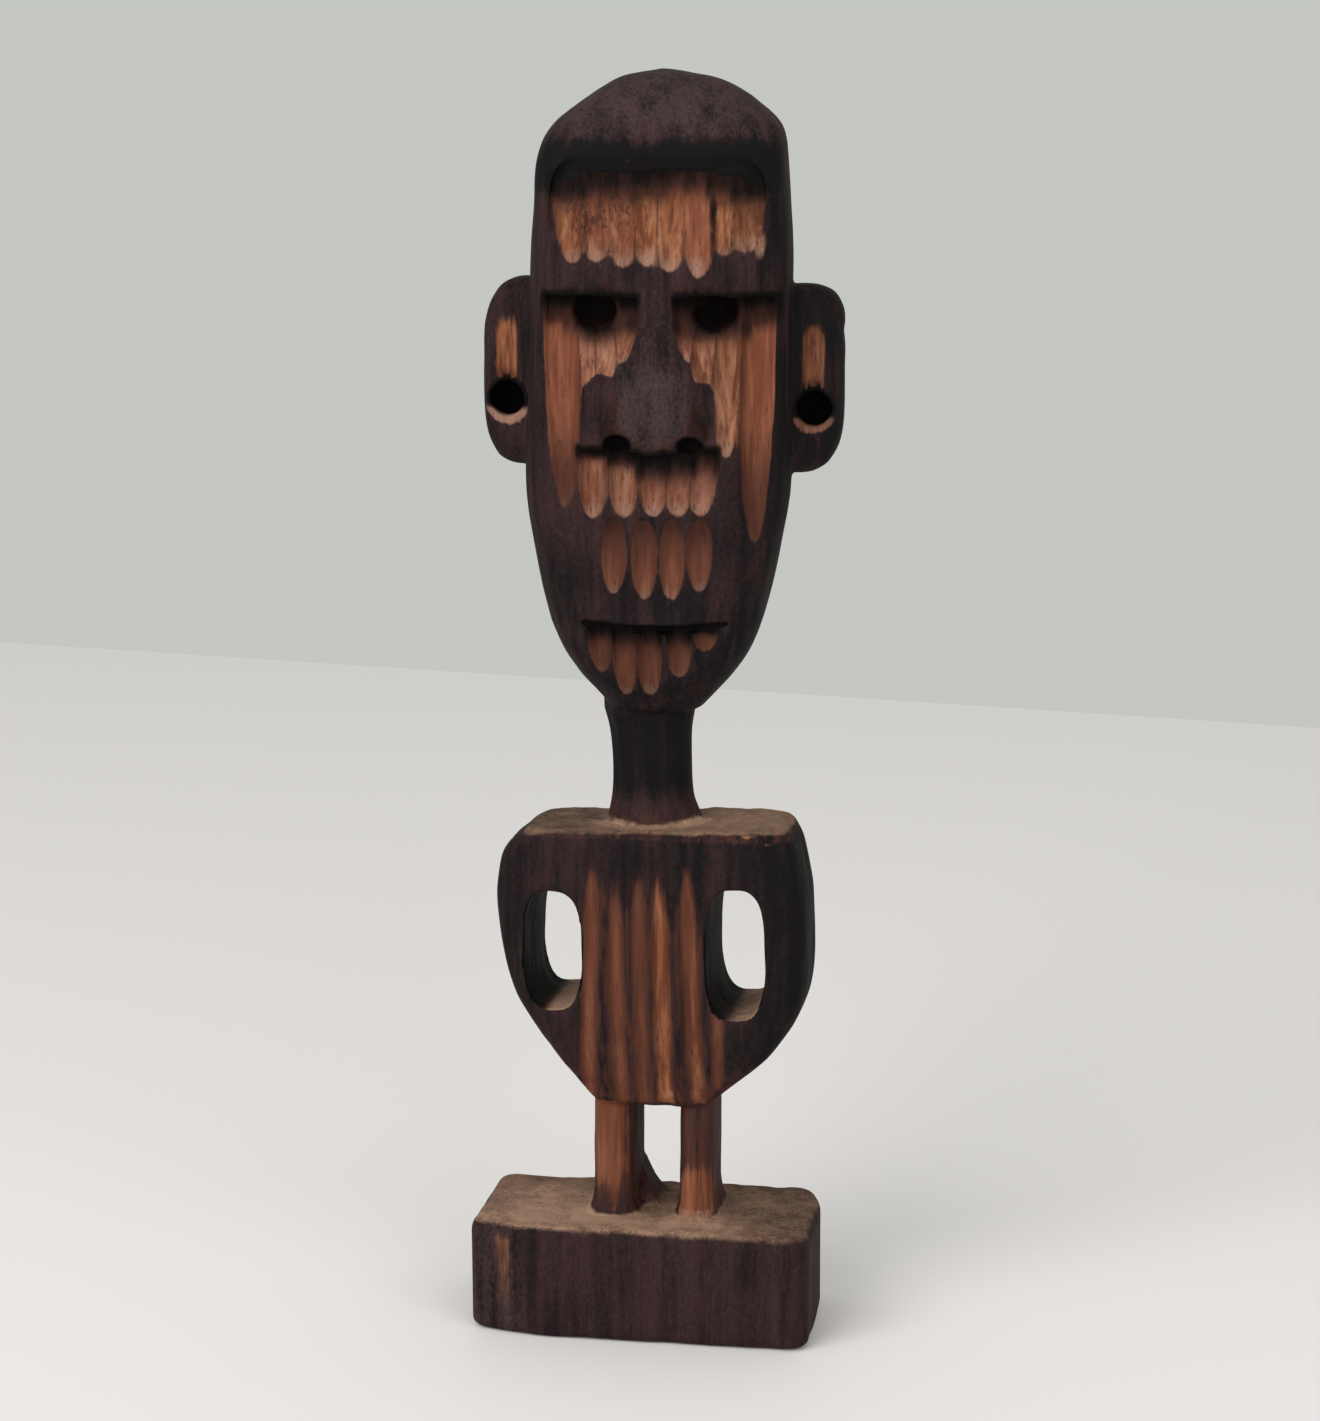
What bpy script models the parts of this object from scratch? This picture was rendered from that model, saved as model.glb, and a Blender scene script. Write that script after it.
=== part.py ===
"""A carved wooden ancestor figure, cut with its block base from one billet.

Metres, +Z up, the figure faces -Y. The origin is the centre of the base's flat underside.
The figure is one solid: block base, two legs, a shield-shaped trunk whose arms are set off by
two cut-through gaps, a neck, and a long head with block ears. Rows of gouge cuts mark the
face and the front of the trunk: each cut starts as a rounded tip at the surface and deepens
towards a square stop under the hair, the brow, the nose or the lip.
"""

import math

import bmesh
import bpy

for old in list(bpy.data.objects):
    bpy.data.objects.remove(old)

# Base block
BASE_WIDTH = 0.0675
BASE_DEPTH = 0.034
BASE_HEIGHT = 0.0233
BASE_EDGE_ROUNDING = 0.0020
FRONT_CORNER_CUT_ALONG = 0.0104
FRONT_CORNER_CUT_DEEP = 0.0034
BACK_CORNER_CUT_ALONG = 0.0034
BACK_CORNER_CUT_DEEP = 0.0072

# Legs
LEG_HEIGHT = 0.023
LEG_DEPTH = 0.019
LEFT_LEG_WIDTH = 0.0088
RIGHT_LEG_WIDTH = 0.0072
LEG_GAP = 0.0093
LEG_GAP_SHIFT = 0.0012
LEG_SETBACK = 0.0025
LEG_FLARE = 0.0007
LEG_RAMP_RISE = 0.0075
LEG_RAMP_RUN = 0.0070

# Trunk and arms
BODY_SHIFT = 0.0020
TRUNK_WIDTH = 0.0626
TRUNK_DEPTH = 0.026
TRUNK_HEIGHT = 0.0572
SHOULDER_SLOPE = 0.03
ARM_GAP_WIDTH = 0.0117
ARM_GAP_SQUARENESS = 3.0
LEFT_ARM_GAP_HEIGHT = 0.0240
RIGHT_ARM_GAP_HEIGHT = 0.0262
LEFT_ARM_GAP_RISE = 0.0323
RIGHT_ARM_GAP_RISE = 0.0329
LEFT_ARM_GAP_OFFSET = -0.0188
RIGHT_ARM_GAP_OFFSET = 0.0175
FLUTE_RADIUS = 0.0026
FLUTE_DEPTH = 0.0015

# Neck
NECK_WIDTH = 0.0162
NECK_DEPTH = 0.0150
NECK_LENGTH = 0.0223
NECK_SHIFT = -0.0007
NECK_SETBACK = 0.0015

# Head
HEAD_WIDTH = 0.051
HEAD_DEPTH = 0.034
HEAD_HEIGHT = 0.1237
HEAD_SHIFT = 0.0008
HEAD_TURN = math.radians(5.0)
HAIR_EDGE = 0.840 * HEAD_HEIGHT
HAIR_COVE = 0.045 * HEAD_HEIGHT
BROW_EDGE = 0.657 * HEAD_HEIGHT
LIP_TOP = 0.423 * HEAD_HEIGHT
BEARD_TOP = 0.308 * HEAD_HEIGHT
MOUTH_LINE = 0.153 * HEAD_HEIGHT
GOUGE_RADIUS = 0.0036
FOREHEAD_CUT_DEPTH = 0.0030
CHEEK_CUT_DEPTH = 0.0042
LIP_CUT_DEPTH = 0.0032
BEARD_CUT_DEPTH = 0.0016
CHIN_CUT_DEPTH = 0.0034
EYE_PIT_WIDTH = 0.0088
EYE_PIT_HEIGHT = 0.0074
EYE_PIT_DEPTH = 0.0092
EYE_DROP = 0.0028
LEFT_EYE = -0.454 * HEAD_WIDTH / 2
RIGHT_EYE = 0.446 * HEAD_WIDTH / 2
NOSE_WIDTH = 0.0150
NOSE_HEIGHT = 0.0155
NOSE_PROUD = 0.0020
NOSE_RISE = 0.490 * HEAD_HEIGHT
NOSTRIL_RADIUS = 0.0018
NOSTRIL_RISE = 0.441 * HEAD_HEIGHT
LEFT_NOSTRIL = -0.293 * HEAD_WIDTH / 2
RIGHT_NOSTRIL = 0.257 * HEAD_WIDTH / 2
MOUTH_WIDTH = 0.0280
MOUTH_OPENING = 0.0016
MOUTH_DEPTH = 0.0030
MOUTH_SAG = 0.0012

# Ears
EAR_DEPTH = 0.018
EAR_HEIGHT = 0.0363
EAR_OVERLAP = 0.0050
EAR_SETBACK = 0.0030
LEFT_EAR_REACH = 0.0090
LEFT_EAR_FOOT = 0.0479
LEFT_EAR_HOLE_RISE = 0.0132
RIGHT_EAR_REACH = 0.0104
RIGHT_EAR_FOOT = 0.0466
RIGHT_EAR_HOLE_RISE = 0.0128
EAR_HOLLOW_PLACE = 0.42
EAR_GROOVE_RADIUS = 0.0026
EAR_GROOVE_DEPTH = 0.0016
EAR_GROOVE_FOOT = 0.0150
EAR_GROOVE_TOP = 0.0300
EAR_HOLE_RADIUS = 0.0033
EAR_HOLE_DEPTH = 0.0090

# How far one piece runs into the next, so that they join as one solid
JOIN_OVERLAP = 0.003

# How far across a section its front still counts as front, as a share of the half width
FRONT_LIMIT = 0.85

# How finely the round forms are drawn
TRUNK_SIDES = 32
HEAD_SIDES = 36
LIMB_SIDES = 16
CUT_SIDES = 12

BASE_TOP = BASE_HEIGHT
HIP = BASE_TOP + LEG_HEIGHT
SHOULDER = HIP + TRUNK_HEIGHT
CHIN = SHOULDER + NECK_LENGTH

# Each row: share of the height, then the left, right, front and back reach as shares of the
# half width and half depth, then how square the section is (2 is an ellipse).
TRUNK_STATIONS = (
    (0.000, 0.390, 0.410, 0.66, 0.84, 5.0),
    (0.030, 0.430, 0.450, 0.74, 0.88, 5.0),
    (0.200, 0.680, 0.800, 0.88, 0.94, 5.0),
    (0.360, 0.862, 0.955, 0.97, 0.98, 5.0),
    (0.520, 0.950, 1.004, 1.00, 1.00, 5.0),
    (0.750, 1.000, 0.992, 1.00, 1.00, 5.0),
    (0.870, 0.972, 0.950, 1.00, 1.00, 5.0),
    (0.925, 0.905, 0.920, 1.00, 1.00, 5.0),
    (0.970, 0.840, 0.885, 0.985, 0.985, 5.0),
    (1.000, 0.795, 0.850, 0.945, 0.950, 5.0),
)
NECK_STATIONS = (
    (0.000, 1.13, 1.20, 1.14, 1.10, 3.0),
    (0.200, 1.02, 1.00, 1.00, 1.00, 3.2),
    (0.500, 0.98, 0.95, 0.96, 0.98, 3.2),
    (0.800, 1.06, 0.94, 0.98, 1.02, 3.0),
    (1.000, 1.20, 1.03, 1.10, 1.12, 2.8),
)
HEAD_STATIONS = (
    (0.000, 0.36, 0.31, 0.44, 0.50, 2.4),
    (0.026, 0.46, 0.43, 0.60, 0.58, 2.5),
    (0.063, 0.62, 0.59, 0.75, 0.68, 2.7),
    (0.102, 0.74, 0.71, 0.83, 0.76, 2.9),
    (0.153, 0.84, 0.81, 0.89, 0.84, 3.1),
    (0.255, 0.945, 0.92, 0.94, 0.93, 3.3),
    (0.357, 1.015, 1.01, 0.97, 0.98, 3.4),
    (0.530, 0.990, 1.010, 1.00, 1.00, 3.4),
    (0.685, 0.975, 1.010, 1.00, 1.00, 3.4),
    (0.796, 0.930, 0.980, 1.00, 0.97, 3.4),
    (0.858, 0.890, 0.960, 0.965, 0.92, 3.2),
    (0.896, 0.830, 0.935, 0.90, 0.85, 3.0),
    (0.920, 0.745, 0.890, 0.83, 0.78, 2.8),
    (0.944, 0.600, 0.775, 0.73, 0.68, 2.6),
    (0.969, 0.455, 0.610, 0.58, 0.55, 2.4),
    (0.990, 0.270, 0.390, 0.37, 0.36, 2.2),
    (1.000, 0.130, 0.210, 0.20, 0.20, 2.0),
)
# Each row: share of an ear's height, its outward reach and its thickness as shares
EAR_STATIONS = (
    (0.00, 0.48, 0.66),
    (0.06, 0.72, 0.82),
    (0.18, 0.93, 0.94),
    (0.38, 1.00, 1.00),
    (0.70, 0.99, 1.00),
    (0.85, 0.88, 0.94),
    (0.95, 0.66, 0.84),
    (1.00, 0.46, 0.70),
)
# Each pair: a gouge cut's place across, as a share of half the head's width, and the rise of
# its tip, as a share of the head's height
FOREHEAD_TIPS = (
    (-0.62, 0.704),
    (-0.43, 0.706),
    (-0.23, 0.698),
    (-0.055, 0.700),
    (0.12, 0.692),
    (0.33, 0.682),
    (0.52, 0.716),
    (0.68, 0.720),
)
LEFT_CHEEK_TIPS = ((-0.69, 0.330), (-0.53, 0.500), (-0.385, 0.505), (-0.245, 0.532))
RIGHT_CHEEK_TIPS = ((0.28, 0.533), (0.412, 0.487), (0.555, 0.407), (0.775, 0.276))
LIP_TIPS = ((-0.446, 0.316), (-0.206, 0.317), (0.003, 0.319), (0.197, 0.319), (0.368, 0.319))
BEARD_TIPS = ((-0.315, 0.196), (-0.065, 0.189), (0.135, 0.188), (0.345, 0.201))
CHIN_TIPS = ((-0.42, 0.070), (-0.229, 0.032), (-0.043, 0.033), (0.189, 0.062), (0.387, 0.106))
# Each row: a trunk flute's place across at its top and at its foot, as shares of half the
# trunk's width, both ends as shares of its height, and its depth as a share of the deepest
FLUTES = (
    (-0.32, -0.39, 0.90, 0.00, 0.85),
    (-0.20, -0.17, 0.86, 0.00, 0.80),
    (-0.05, -0.03, 0.86, 0.00, 0.70),
    (0.08, 0.11, 0.87, 0.00, 1.00),
    (0.25, 0.32, 0.94, 0.00, 0.85),
    (0.46, 0.44, 0.50, 0.08, 0.50),
)

added = bpy.data.collections.new("added wood")
cuts = bpy.data.collections.new("cuts")
for group in (added, cuts):
    bpy.context.scene.collection.children.link(group)


def wood(name, color, roughness):
    """A wood finish."""
    material = bpy.data.materials.new(name)
    material.use_nodes = True
    shader = material.node_tree.nodes["Principled BSDF"]
    shader.inputs["Base Color"].default_value = (*color, 1.0)
    shader.inputs["Roughness"].default_value = roughness
    shader.inputs["Metallic"].default_value = 0.0
    return material


def eased(stations, share):
    """The row of a station table at one share of the height, smooth between its rows."""
    heights = [row[0] for row in stations]
    share = min(max(share, heights[0]), heights[-1])
    last = len(stations) - 1
    low = max(i for i in range(last) if heights[i] <= share)
    step = heights[low + 1] - heights[low]
    t = (share - heights[low]) / step

    def slope(i, column):
        before = max(i - 1, 0)
        after = min(i + 1, last)
        rise = stations[after][column] - stations[before][column]
        return rise / (heights[after] - heights[before]) * step

    values = []
    for column in range(1, len(stations[0])):
        a = stations[low][column]
        b = stations[low + 1][column]
        values.append(
            (2 * t**3 - 3 * t**2 + 1) * a
            + (t**3 - 2 * t**2 + t) * slope(low, column)
            + (3 * t**2 - 2 * t**3) * b
            + (t**3 - t**2) * slope(low + 1, column)
        )
    return values


def section(left, right, front, back, squareness, height, sides):
    """A closed level outline, counterclockwise from above, with its own reach on each side."""
    points = []
    for i in range(sides):
        angle = 2 * math.pi * (i + 0.5) / sides
        c = math.cos(angle)
        s = math.sin(angle)
        across = math.copysign(abs(c) ** (2 / squareness), c) * (right if c > 0 else left)
        along = math.copysign(abs(s) ** (2 / squareness), s) * (back if s > 0 else front)
        points.append((across, along, height))
    return points


def circle(radius):
    """Points round a circle, as pairs."""
    turns = [2 * math.pi * i / CUT_SIDES for i in range(CUT_SIDES)]
    return [(radius * math.cos(turn), radius * math.sin(turn)) for turn in turns]


def placed(name, bm, group):
    """An object from a mesh in the making. Helpers in a group are hidden from the render."""
    bmesh.ops.recalc_face_normals(bm, faces=bm.faces)
    mesh = bpy.data.meshes.new(name)
    bm.to_mesh(mesh)
    bm.free()
    obj = bpy.data.objects.new(name, mesh)
    group.objects.link(obj)
    if group in (added, cuts):
        obj.hide_render = True
        obj.display_type = "WIRE"
    return obj


def loft(name, rings, group):
    """A closed solid through rings of points, with flat ends."""
    bm = bmesh.new()
    loops = [[bm.verts.new(point) for point in ring] for ring in rings]
    for lower, upper in zip(loops, loops[1:]):
        for i in range(len(lower)):
            j = (i + 1) % len(lower)
            bm.faces.new((lower[i], lower[j], upper[j], upper[i]))
    bm.faces.new(list(reversed(loops[0])))
    bm.faces.new(loops[-1])
    return placed(name, bm, group)


def ball(name, size, group):
    """An ellipsoid of the given width, depth and height about its own origin."""
    bm = bmesh.new()
    bmesh.ops.create_uvsphere(bm, u_segments=CUT_SIDES, v_segments=CUT_SIDES // 2 + 1, radius=0.5)
    bmesh.ops.scale(bm, vec=size, verts=bm.verts)
    return placed(name, bm, group)


# The base block, with its front left corner cut away and its back right corner worn

def base_block():
    half_width = BASE_WIDTH / 2
    half_depth = BASE_DEPTH / 2
    outline = (
        (-half_width + FRONT_CORNER_CUT_ALONG, -half_depth),
        (half_width, -half_depth),
        (half_width, half_depth - BACK_CORNER_CUT_DEEP),
        (half_width - BACK_CORNER_CUT_ALONG, half_depth),
        (-half_width, half_depth),
        (-half_width, -half_depth + FRONT_CORNER_CUT_DEEP),
    )
    base = loft("base_block", [[(x, y, z) for x, y in outline] for z in (0.0, BASE_HEIGHT)], added)
    rounding = base.modifiers.new("worn edges", "BEVEL")
    rounding.width = BASE_EDGE_ROUNDING
    rounding.segments = 2
    return base


# Two legs, deeper than they are wide, that stand on the base and run up into the trunk

def leg(name, inner_side, width, sign):
    """One leg, from its inner side outwards. sign is -1 on the left and 1 on the right."""
    rings = []
    for height in (-JOIN_OVERLAP, 0.12 * LEG_HEIGHT, 0.5 * LEG_HEIGHT, LEG_HEIGHT + JOIN_OVERLAP):
        flare = LEG_FLARE * (1 - max(height, 0.0) / LEG_HEIGHT) if height < LEG_HEIGHT / 3 else 0.0
        across = width / 2 + flare
        deep = LEG_DEPTH / 2 + flare
        rings.append(section(across, across, deep, deep, 4.0, height, LIMB_SIDES))
    shape = loft(name, rings, added)
    shape.location = (inner_side + sign * width / 2, LEG_SETBACK, BASE_TOP)
    return shape


def leg_ramp(inner_side):
    """The wood left beside the left leg, where the gap between the legs wasn't cut clean."""
    profile = (
        (-JOIN_OVERLAP, -JOIN_OVERLAP),
        (LEG_RAMP_RUN, -JOIN_OVERLAP),
        (0.45 * LEG_RAMP_RUN, 0.20 * LEG_RAMP_RISE),
        (0.12 * LEG_RAMP_RUN, 0.60 * LEG_RAMP_RISE),
        (-JOIN_OVERLAP, LEG_RAMP_RISE),
    )
    ends = (0.40 * LEG_DEPTH, 0.10 * LEG_DEPTH)
    ramp = loft("leg_ramp", [[(x, y, z) for x, z in profile] for y in ends], added)
    ramp.location = (inner_side, LEG_SETBACK, BASE_TOP)
    return ramp


# The trunk and arms: one shield-shaped slab, flat on top and tapering to the hips

def trunk_reach(share):
    left, right, front, back, squareness = eased(TRUNK_STATIONS, share)
    across = TRUNK_WIDTH / 2
    deep = TRUNK_DEPTH / 2
    return left * across, right * across, front * deep, back * deep, squareness


def front_of(reach, x):
    """Where the front of a section lies at one place across it, short of its rounded side."""
    left, right, front, _, squareness = reach
    across = min(abs(x) / (right if x > 0 else left), FRONT_LIMIT)
    return -front * (1 - across**squareness) ** (1 / squareness)


def trunk():
    rings = []
    for share in (0.0, 0.03, 0.11, 0.2, 0.28, 0.36, 0.52, 0.64, 0.75, 0.81, 0.87, 0.925, 0.97, 1.0):
        level = section(*trunk_reach(share), share * TRUNK_HEIGHT, TRUNK_SIDES)
        rings.append([(x, y, z + SHOULDER_SLOPE * x * share**4) for x, y, z in level])
    body = loft("ancestor_figure", rings, bpy.context.scene.collection)
    body.location = (BODY_SHIFT, 0.0, HIP)
    return body


def arm_gap(name, offset, rise, height):
    """A round-ended gap right through the slab, between an arm and the trunk."""
    across = ARM_GAP_WIDTH / 2
    ring = section(across, across, height / 2, height / 2, ARM_GAP_SQUARENESS, 0.0, LIMB_SIDES)
    gap = loft(name, [[(x, y, z) for x, z, _ in ring] for y in (TRUNK_DEPTH, -TRUNK_DEPTH)], cuts)
    gap.location = (BODY_SHIFT + offset, 0.0, HIP + rise)
    return gap


def flute(name, top_across, foot_across, top_share, foot_share, depth_share):
    """A long gouge cut down the front of the trunk, from a faint start near its top."""
    rings = []
    for t in (0.0, 0.12, 0.4, 0.7, 1.0):
        share = top_share + (foot_share - top_share) * t
        x = (top_across + (foot_across - top_across) * t) * TRUNK_WIDTH / 2
        deep = FLUTE_DEPTH * depth_share * min(1.0, (t - 0.04) / 0.35)
        y = front_of(trunk_reach(share), x) + deep - FLUTE_RADIUS
        z = share * TRUNK_HEIGHT - (JOIN_OVERLAP if share == 0.0 else 0.0)
        rings.append([(x + dx, y + dy, z) for dx, dy in circle(FLUTE_RADIUS)])
    cut = loft(name, rings, cuts)
    cut.location = (BODY_SHIFT, 0.0, HIP)
    return cut


def trunk_flutes():
    for number, row in enumerate(FLUTES, 1):
        flute(f"flute_{number}", *row)


# The neck

def neck():
    rings = []
    for share in (0.0, 0.1, 0.2, 0.5, 0.8, 1.0):
        left, right, front, back, squareness = eased(NECK_STATIONS, share)
        across = NECK_WIDTH / 2
        deep = NECK_DEPTH / 2
        end = {0.0: -JOIN_OVERLAP, 1.0: JOIN_OVERLAP}.get(share, 0.0)
        reach = (left * across, right * across, front * deep, back * deep)
        rings.append(section(*reach, squareness, share * NECK_LENGTH + end, LIMB_SIDES))
    shape = loft("neck", rings, added)
    shape.location = (BODY_SHIFT + NECK_SHIFT, NECK_SETBACK, SHOULDER)
    return shape


# The head, turned a little on the neck. What is on it is placed in its own frame: x from the
# head's middle, y from its middle depth, z up from the chin.

def on_head(obj, location=(0.0, 0.0, 0.0)):
    obj.parent = head_frame
    obj.location = location
    return obj


def head_reach(share):
    left, right, front, back, squareness = eased(HEAD_STATIONS, share)
    across = HEAD_WIDTH / 2
    deep = HEAD_DEPTH / 2
    return left * across, right * across, front * deep, back * deep, squareness


def face_at(x, z):
    """Where the front of the uncut head lies at one place on the face."""
    return front_of(head_reach(z / HEAD_HEIGHT), x)


def head_block():
    shares = [row[0] for row in HEAD_STATIONS]
    rings = [section(*head_reach(share), share * HEAD_HEIGHT, HEAD_SIDES) for share in shares]
    return on_head(loft("head_block", rings, added))


def gouge_row(name, tips, stop, depth, radius=GOUGE_RADIUS, cove=0.0):
    """Gouge cuts side by side, each driven from its tip up to a common stop. The stop is square,
    or with a cove it slopes back out to the surface over that height."""
    for number, (across, rise) in enumerate(tips, 1):
        x = across * HEAD_WIDTH / 2
        tip = rise * HEAD_HEIGHT
        path = []
        for t in (-0.08, 0.0, 0.1, 0.3, 0.6, 1.0):
            path.append((tip + (stop - tip) * t, depth * math.sin(t * math.pi / 2)))
        if cove:
            path.append((stop + cove, 0.0))
        rings = []
        for z, deep in path:
            y = face_at(x, z) + deep - radius
            rings.append([(x + dx, y + dy, z) for dx, dy in circle(radius)])
        on_head(loft(f"{name}_{number}", rings, cuts))


def face_cuts():
    gouge_row("forehead_cut", FOREHEAD_TIPS, HAIR_EDGE, FOREHEAD_CUT_DEPTH, cove=HAIR_COVE)
    gouge_row("left_cheek_cut", LEFT_CHEEK_TIPS, BROW_EDGE, CHEEK_CUT_DEPTH)
    gouge_row("right_cheek_cut", RIGHT_CHEEK_TIPS, BROW_EDGE, CHEEK_CUT_DEPTH)
    gouge_row("lip_cut", LIP_TIPS, LIP_TOP, LIP_CUT_DEPTH)
    gouge_row("beard_cut", BEARD_TIPS, BEARD_TOP, BEARD_CUT_DEPTH, radius=0.8 * GOUGE_RADIUS)
    gouge_row("chin_cut", CHIN_TIPS, MOUTH_LINE, CHIN_CUT_DEPTH)


def eyes():
    size = (EYE_PIT_WIDTH, EYE_PIT_DEPTH, EYE_PIT_HEIGHT)
    z = BROW_EDGE - EYE_DROP
    for side, x in (("left", LEFT_EYE), ("right", RIGHT_EYE)):
        on_head(ball(f"{side}_eye_pit", size, cuts), (x, face_at(x, z) + EYE_PIT_DEPTH / 2, z))


def nose():
    y = face_at(0.0, NOSE_RISE) + NOSE_PROUD
    size = (NOSE_WIDTH, 4 * NOSE_PROUD, NOSE_HEIGHT)
    on_head(ball("nose_ball", size, added), (0.0, y, NOSE_RISE))
    size = (2 * NOSTRIL_RADIUS, 4 * NOSTRIL_RADIUS, 2 * NOSTRIL_RADIUS)
    for side, x in (("left", LEFT_NOSTRIL), ("right", RIGHT_NOSTRIL)):
        on_head(ball(f"{side}_nostril", size, cuts), (x, face_at(x, NOSTRIL_RISE), NOSTRIL_RISE))


def mouth():
    """A shallow slit that sags a little in its middle, over the chin's cuts."""
    rings = []
    for t in (-1.0, -0.6, -0.2, 0.2, 0.6, 1.0):
        x = t * MOUTH_WIDTH / 2
        outside = face_at(x, MOUTH_LINE) - MOUTH_DEPTH
        inside = face_at(x, MOUTH_LINE) + MOUTH_DEPTH * (1 - 0.7 * t * t)
        middle = MOUTH_LINE - MOUTH_SAG * (1 - t * t)
        half = MOUTH_OPENING / 2 * (1 - 0.6 * t * t)
        low = middle - half
        high = middle + half
        rings.append([(x, outside, low), (x, outside, high), (x, inside, high), (x, inside, low)])
    on_head(loft("mouth_slit", rings, cuts))


# The ears: block lugs on the sides of the head, each with a gouged hollow over a drilled lobe

def ear(side, sign, reach, foot, hole_rise):
    """One ear. sign is -1 on the left and 1 on the right."""
    rings = []
    for share, out, thick in EAR_STATIONS:
        sides = (out * reach + EAR_OVERLAP, EAR_OVERLAP)
        left, right = sides if sign < 0 else reversed(sides)
        deep = thick * EAR_DEPTH / 2
        rings.append(section(left, right, deep, deep, 3.4, share * EAR_HEIGHT, LIMB_SIDES))
    root = sign * (HEAD_WIDTH / 2 - EAR_OVERLAP)
    on_head(loft(f"{side}_ear", rings, added), (root, EAR_SETBACK, foot))

    hollow = (sign * (HEAD_WIDTH / 2 + EAR_HOLLOW_PLACE * reach), EAR_SETBACK - EAR_DEPTH / 2, foot)
    rings = []
    for t, deep in ((0.0, 1.0), (0.6, 1.0), (1.0, 0.3)):
        z = EAR_GROOVE_FOOT + (EAR_GROOVE_TOP - EAR_GROOVE_FOOT) * t
        y = deep * EAR_GROOVE_DEPTH - EAR_GROOVE_RADIUS
        rings.append([(dx, y + dy, z) for dx, dy in circle(EAR_GROOVE_RADIUS)])
    on_head(loft(f"{side}_ear_groove", rings, cuts), hollow)
    rings = []
    for y in (EAR_HOLE_DEPTH, -EAR_HOLE_DEPTH):
        rings.append([(dx, y, hole_rise + dz) for dx, dz in circle(EAR_HOLE_RADIUS)])
    on_head(loft(f"{side}_ear_hole", rings, cuts), hollow)


head_frame = bpy.data.objects.new("head_frame", None)
bpy.context.scene.collection.objects.link(head_frame)
head_frame.location = (BODY_SHIFT + HEAD_SHIFT, 0.0, CHIN)
head_frame.rotation_euler = (0.0, 0.0, HEAD_TURN)

base_block()
gap_middle = BODY_SHIFT + LEG_GAP_SHIFT
leg("left_leg", gap_middle - LEG_GAP / 2, LEFT_LEG_WIDTH, -1)
leg("right_leg", gap_middle + LEG_GAP / 2, RIGHT_LEG_WIDTH, 1)
leg_ramp(gap_middle - LEG_GAP / 2)
figure = trunk()
arm_gap("left_arm_gap", LEFT_ARM_GAP_OFFSET, LEFT_ARM_GAP_RISE, LEFT_ARM_GAP_HEIGHT)
arm_gap("right_arm_gap", RIGHT_ARM_GAP_OFFSET, RIGHT_ARM_GAP_RISE, RIGHT_ARM_GAP_HEIGHT)
trunk_flutes()
neck()
head_block()
face_cuts()
eyes()
nose()
mouth()
ear("left", -1, LEFT_EAR_REACH, LEFT_EAR_FOOT, LEFT_EAR_HOLE_RISE)
ear("right", 1, RIGHT_EAR_REACH, RIGHT_EAR_FOOT, RIGHT_EAR_HOLE_RISE)

joined = figure.modifiers.new("one billet", "BOOLEAN")
joined.operation = "UNION"
joined.operand_type = "COLLECTION"
joined.collection = added
carved = figure.modifiers.new("carved away", "BOOLEAN")
carved.operation = "DIFFERENCE"
carved.operand_type = "COLLECTION"
carved.collection = cuts

figure.data.materials.append(wood("charred_wood", (0.050, 0.032, 0.027), 0.55))
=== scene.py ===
import math

import bpy
import numpy as np
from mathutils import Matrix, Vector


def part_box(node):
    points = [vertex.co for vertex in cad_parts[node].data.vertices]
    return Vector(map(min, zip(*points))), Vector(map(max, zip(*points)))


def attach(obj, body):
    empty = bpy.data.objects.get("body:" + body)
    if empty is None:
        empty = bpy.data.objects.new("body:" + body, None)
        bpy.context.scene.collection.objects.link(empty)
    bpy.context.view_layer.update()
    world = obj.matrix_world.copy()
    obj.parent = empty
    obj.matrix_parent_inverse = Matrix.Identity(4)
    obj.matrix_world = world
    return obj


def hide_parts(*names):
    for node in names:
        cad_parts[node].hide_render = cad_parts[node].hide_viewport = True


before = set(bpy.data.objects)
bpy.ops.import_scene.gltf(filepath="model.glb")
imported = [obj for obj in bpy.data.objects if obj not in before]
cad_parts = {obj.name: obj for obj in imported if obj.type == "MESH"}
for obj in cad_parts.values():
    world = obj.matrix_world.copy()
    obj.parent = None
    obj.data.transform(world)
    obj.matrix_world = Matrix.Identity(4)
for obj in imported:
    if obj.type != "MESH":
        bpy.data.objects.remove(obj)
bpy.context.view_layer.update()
scene = bpy.context.scene


# The table that the figure stands on, with the pale wall behind it and the soft light of a room.
# None of it is part of the figure.
TABLE_COLOUR = (0.86, 0.82, 0.82)
TABLE_ROUGHNESS = 0.6
TABLE_SIDE = 1.9
TABLE_BACK_LEFT = 1.06
TABLE_BACK_RIGHT = 0.33
TABLE_FRONT = -1.6
WALL_COLOUR = (0.555, 0.570, 0.538)
LIGHT_AIM = (0.0, 0.0, 0.13)
# Each row: a light's name, its place, its width and its power
ROOM_LIGHTS = (
    ("window_light", (-0.70, -1.15, 0.95), 1.1, 17.0),
    ("room_light", (0.80, -0.95, 0.70), 1.0, 5.5),
)

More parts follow.
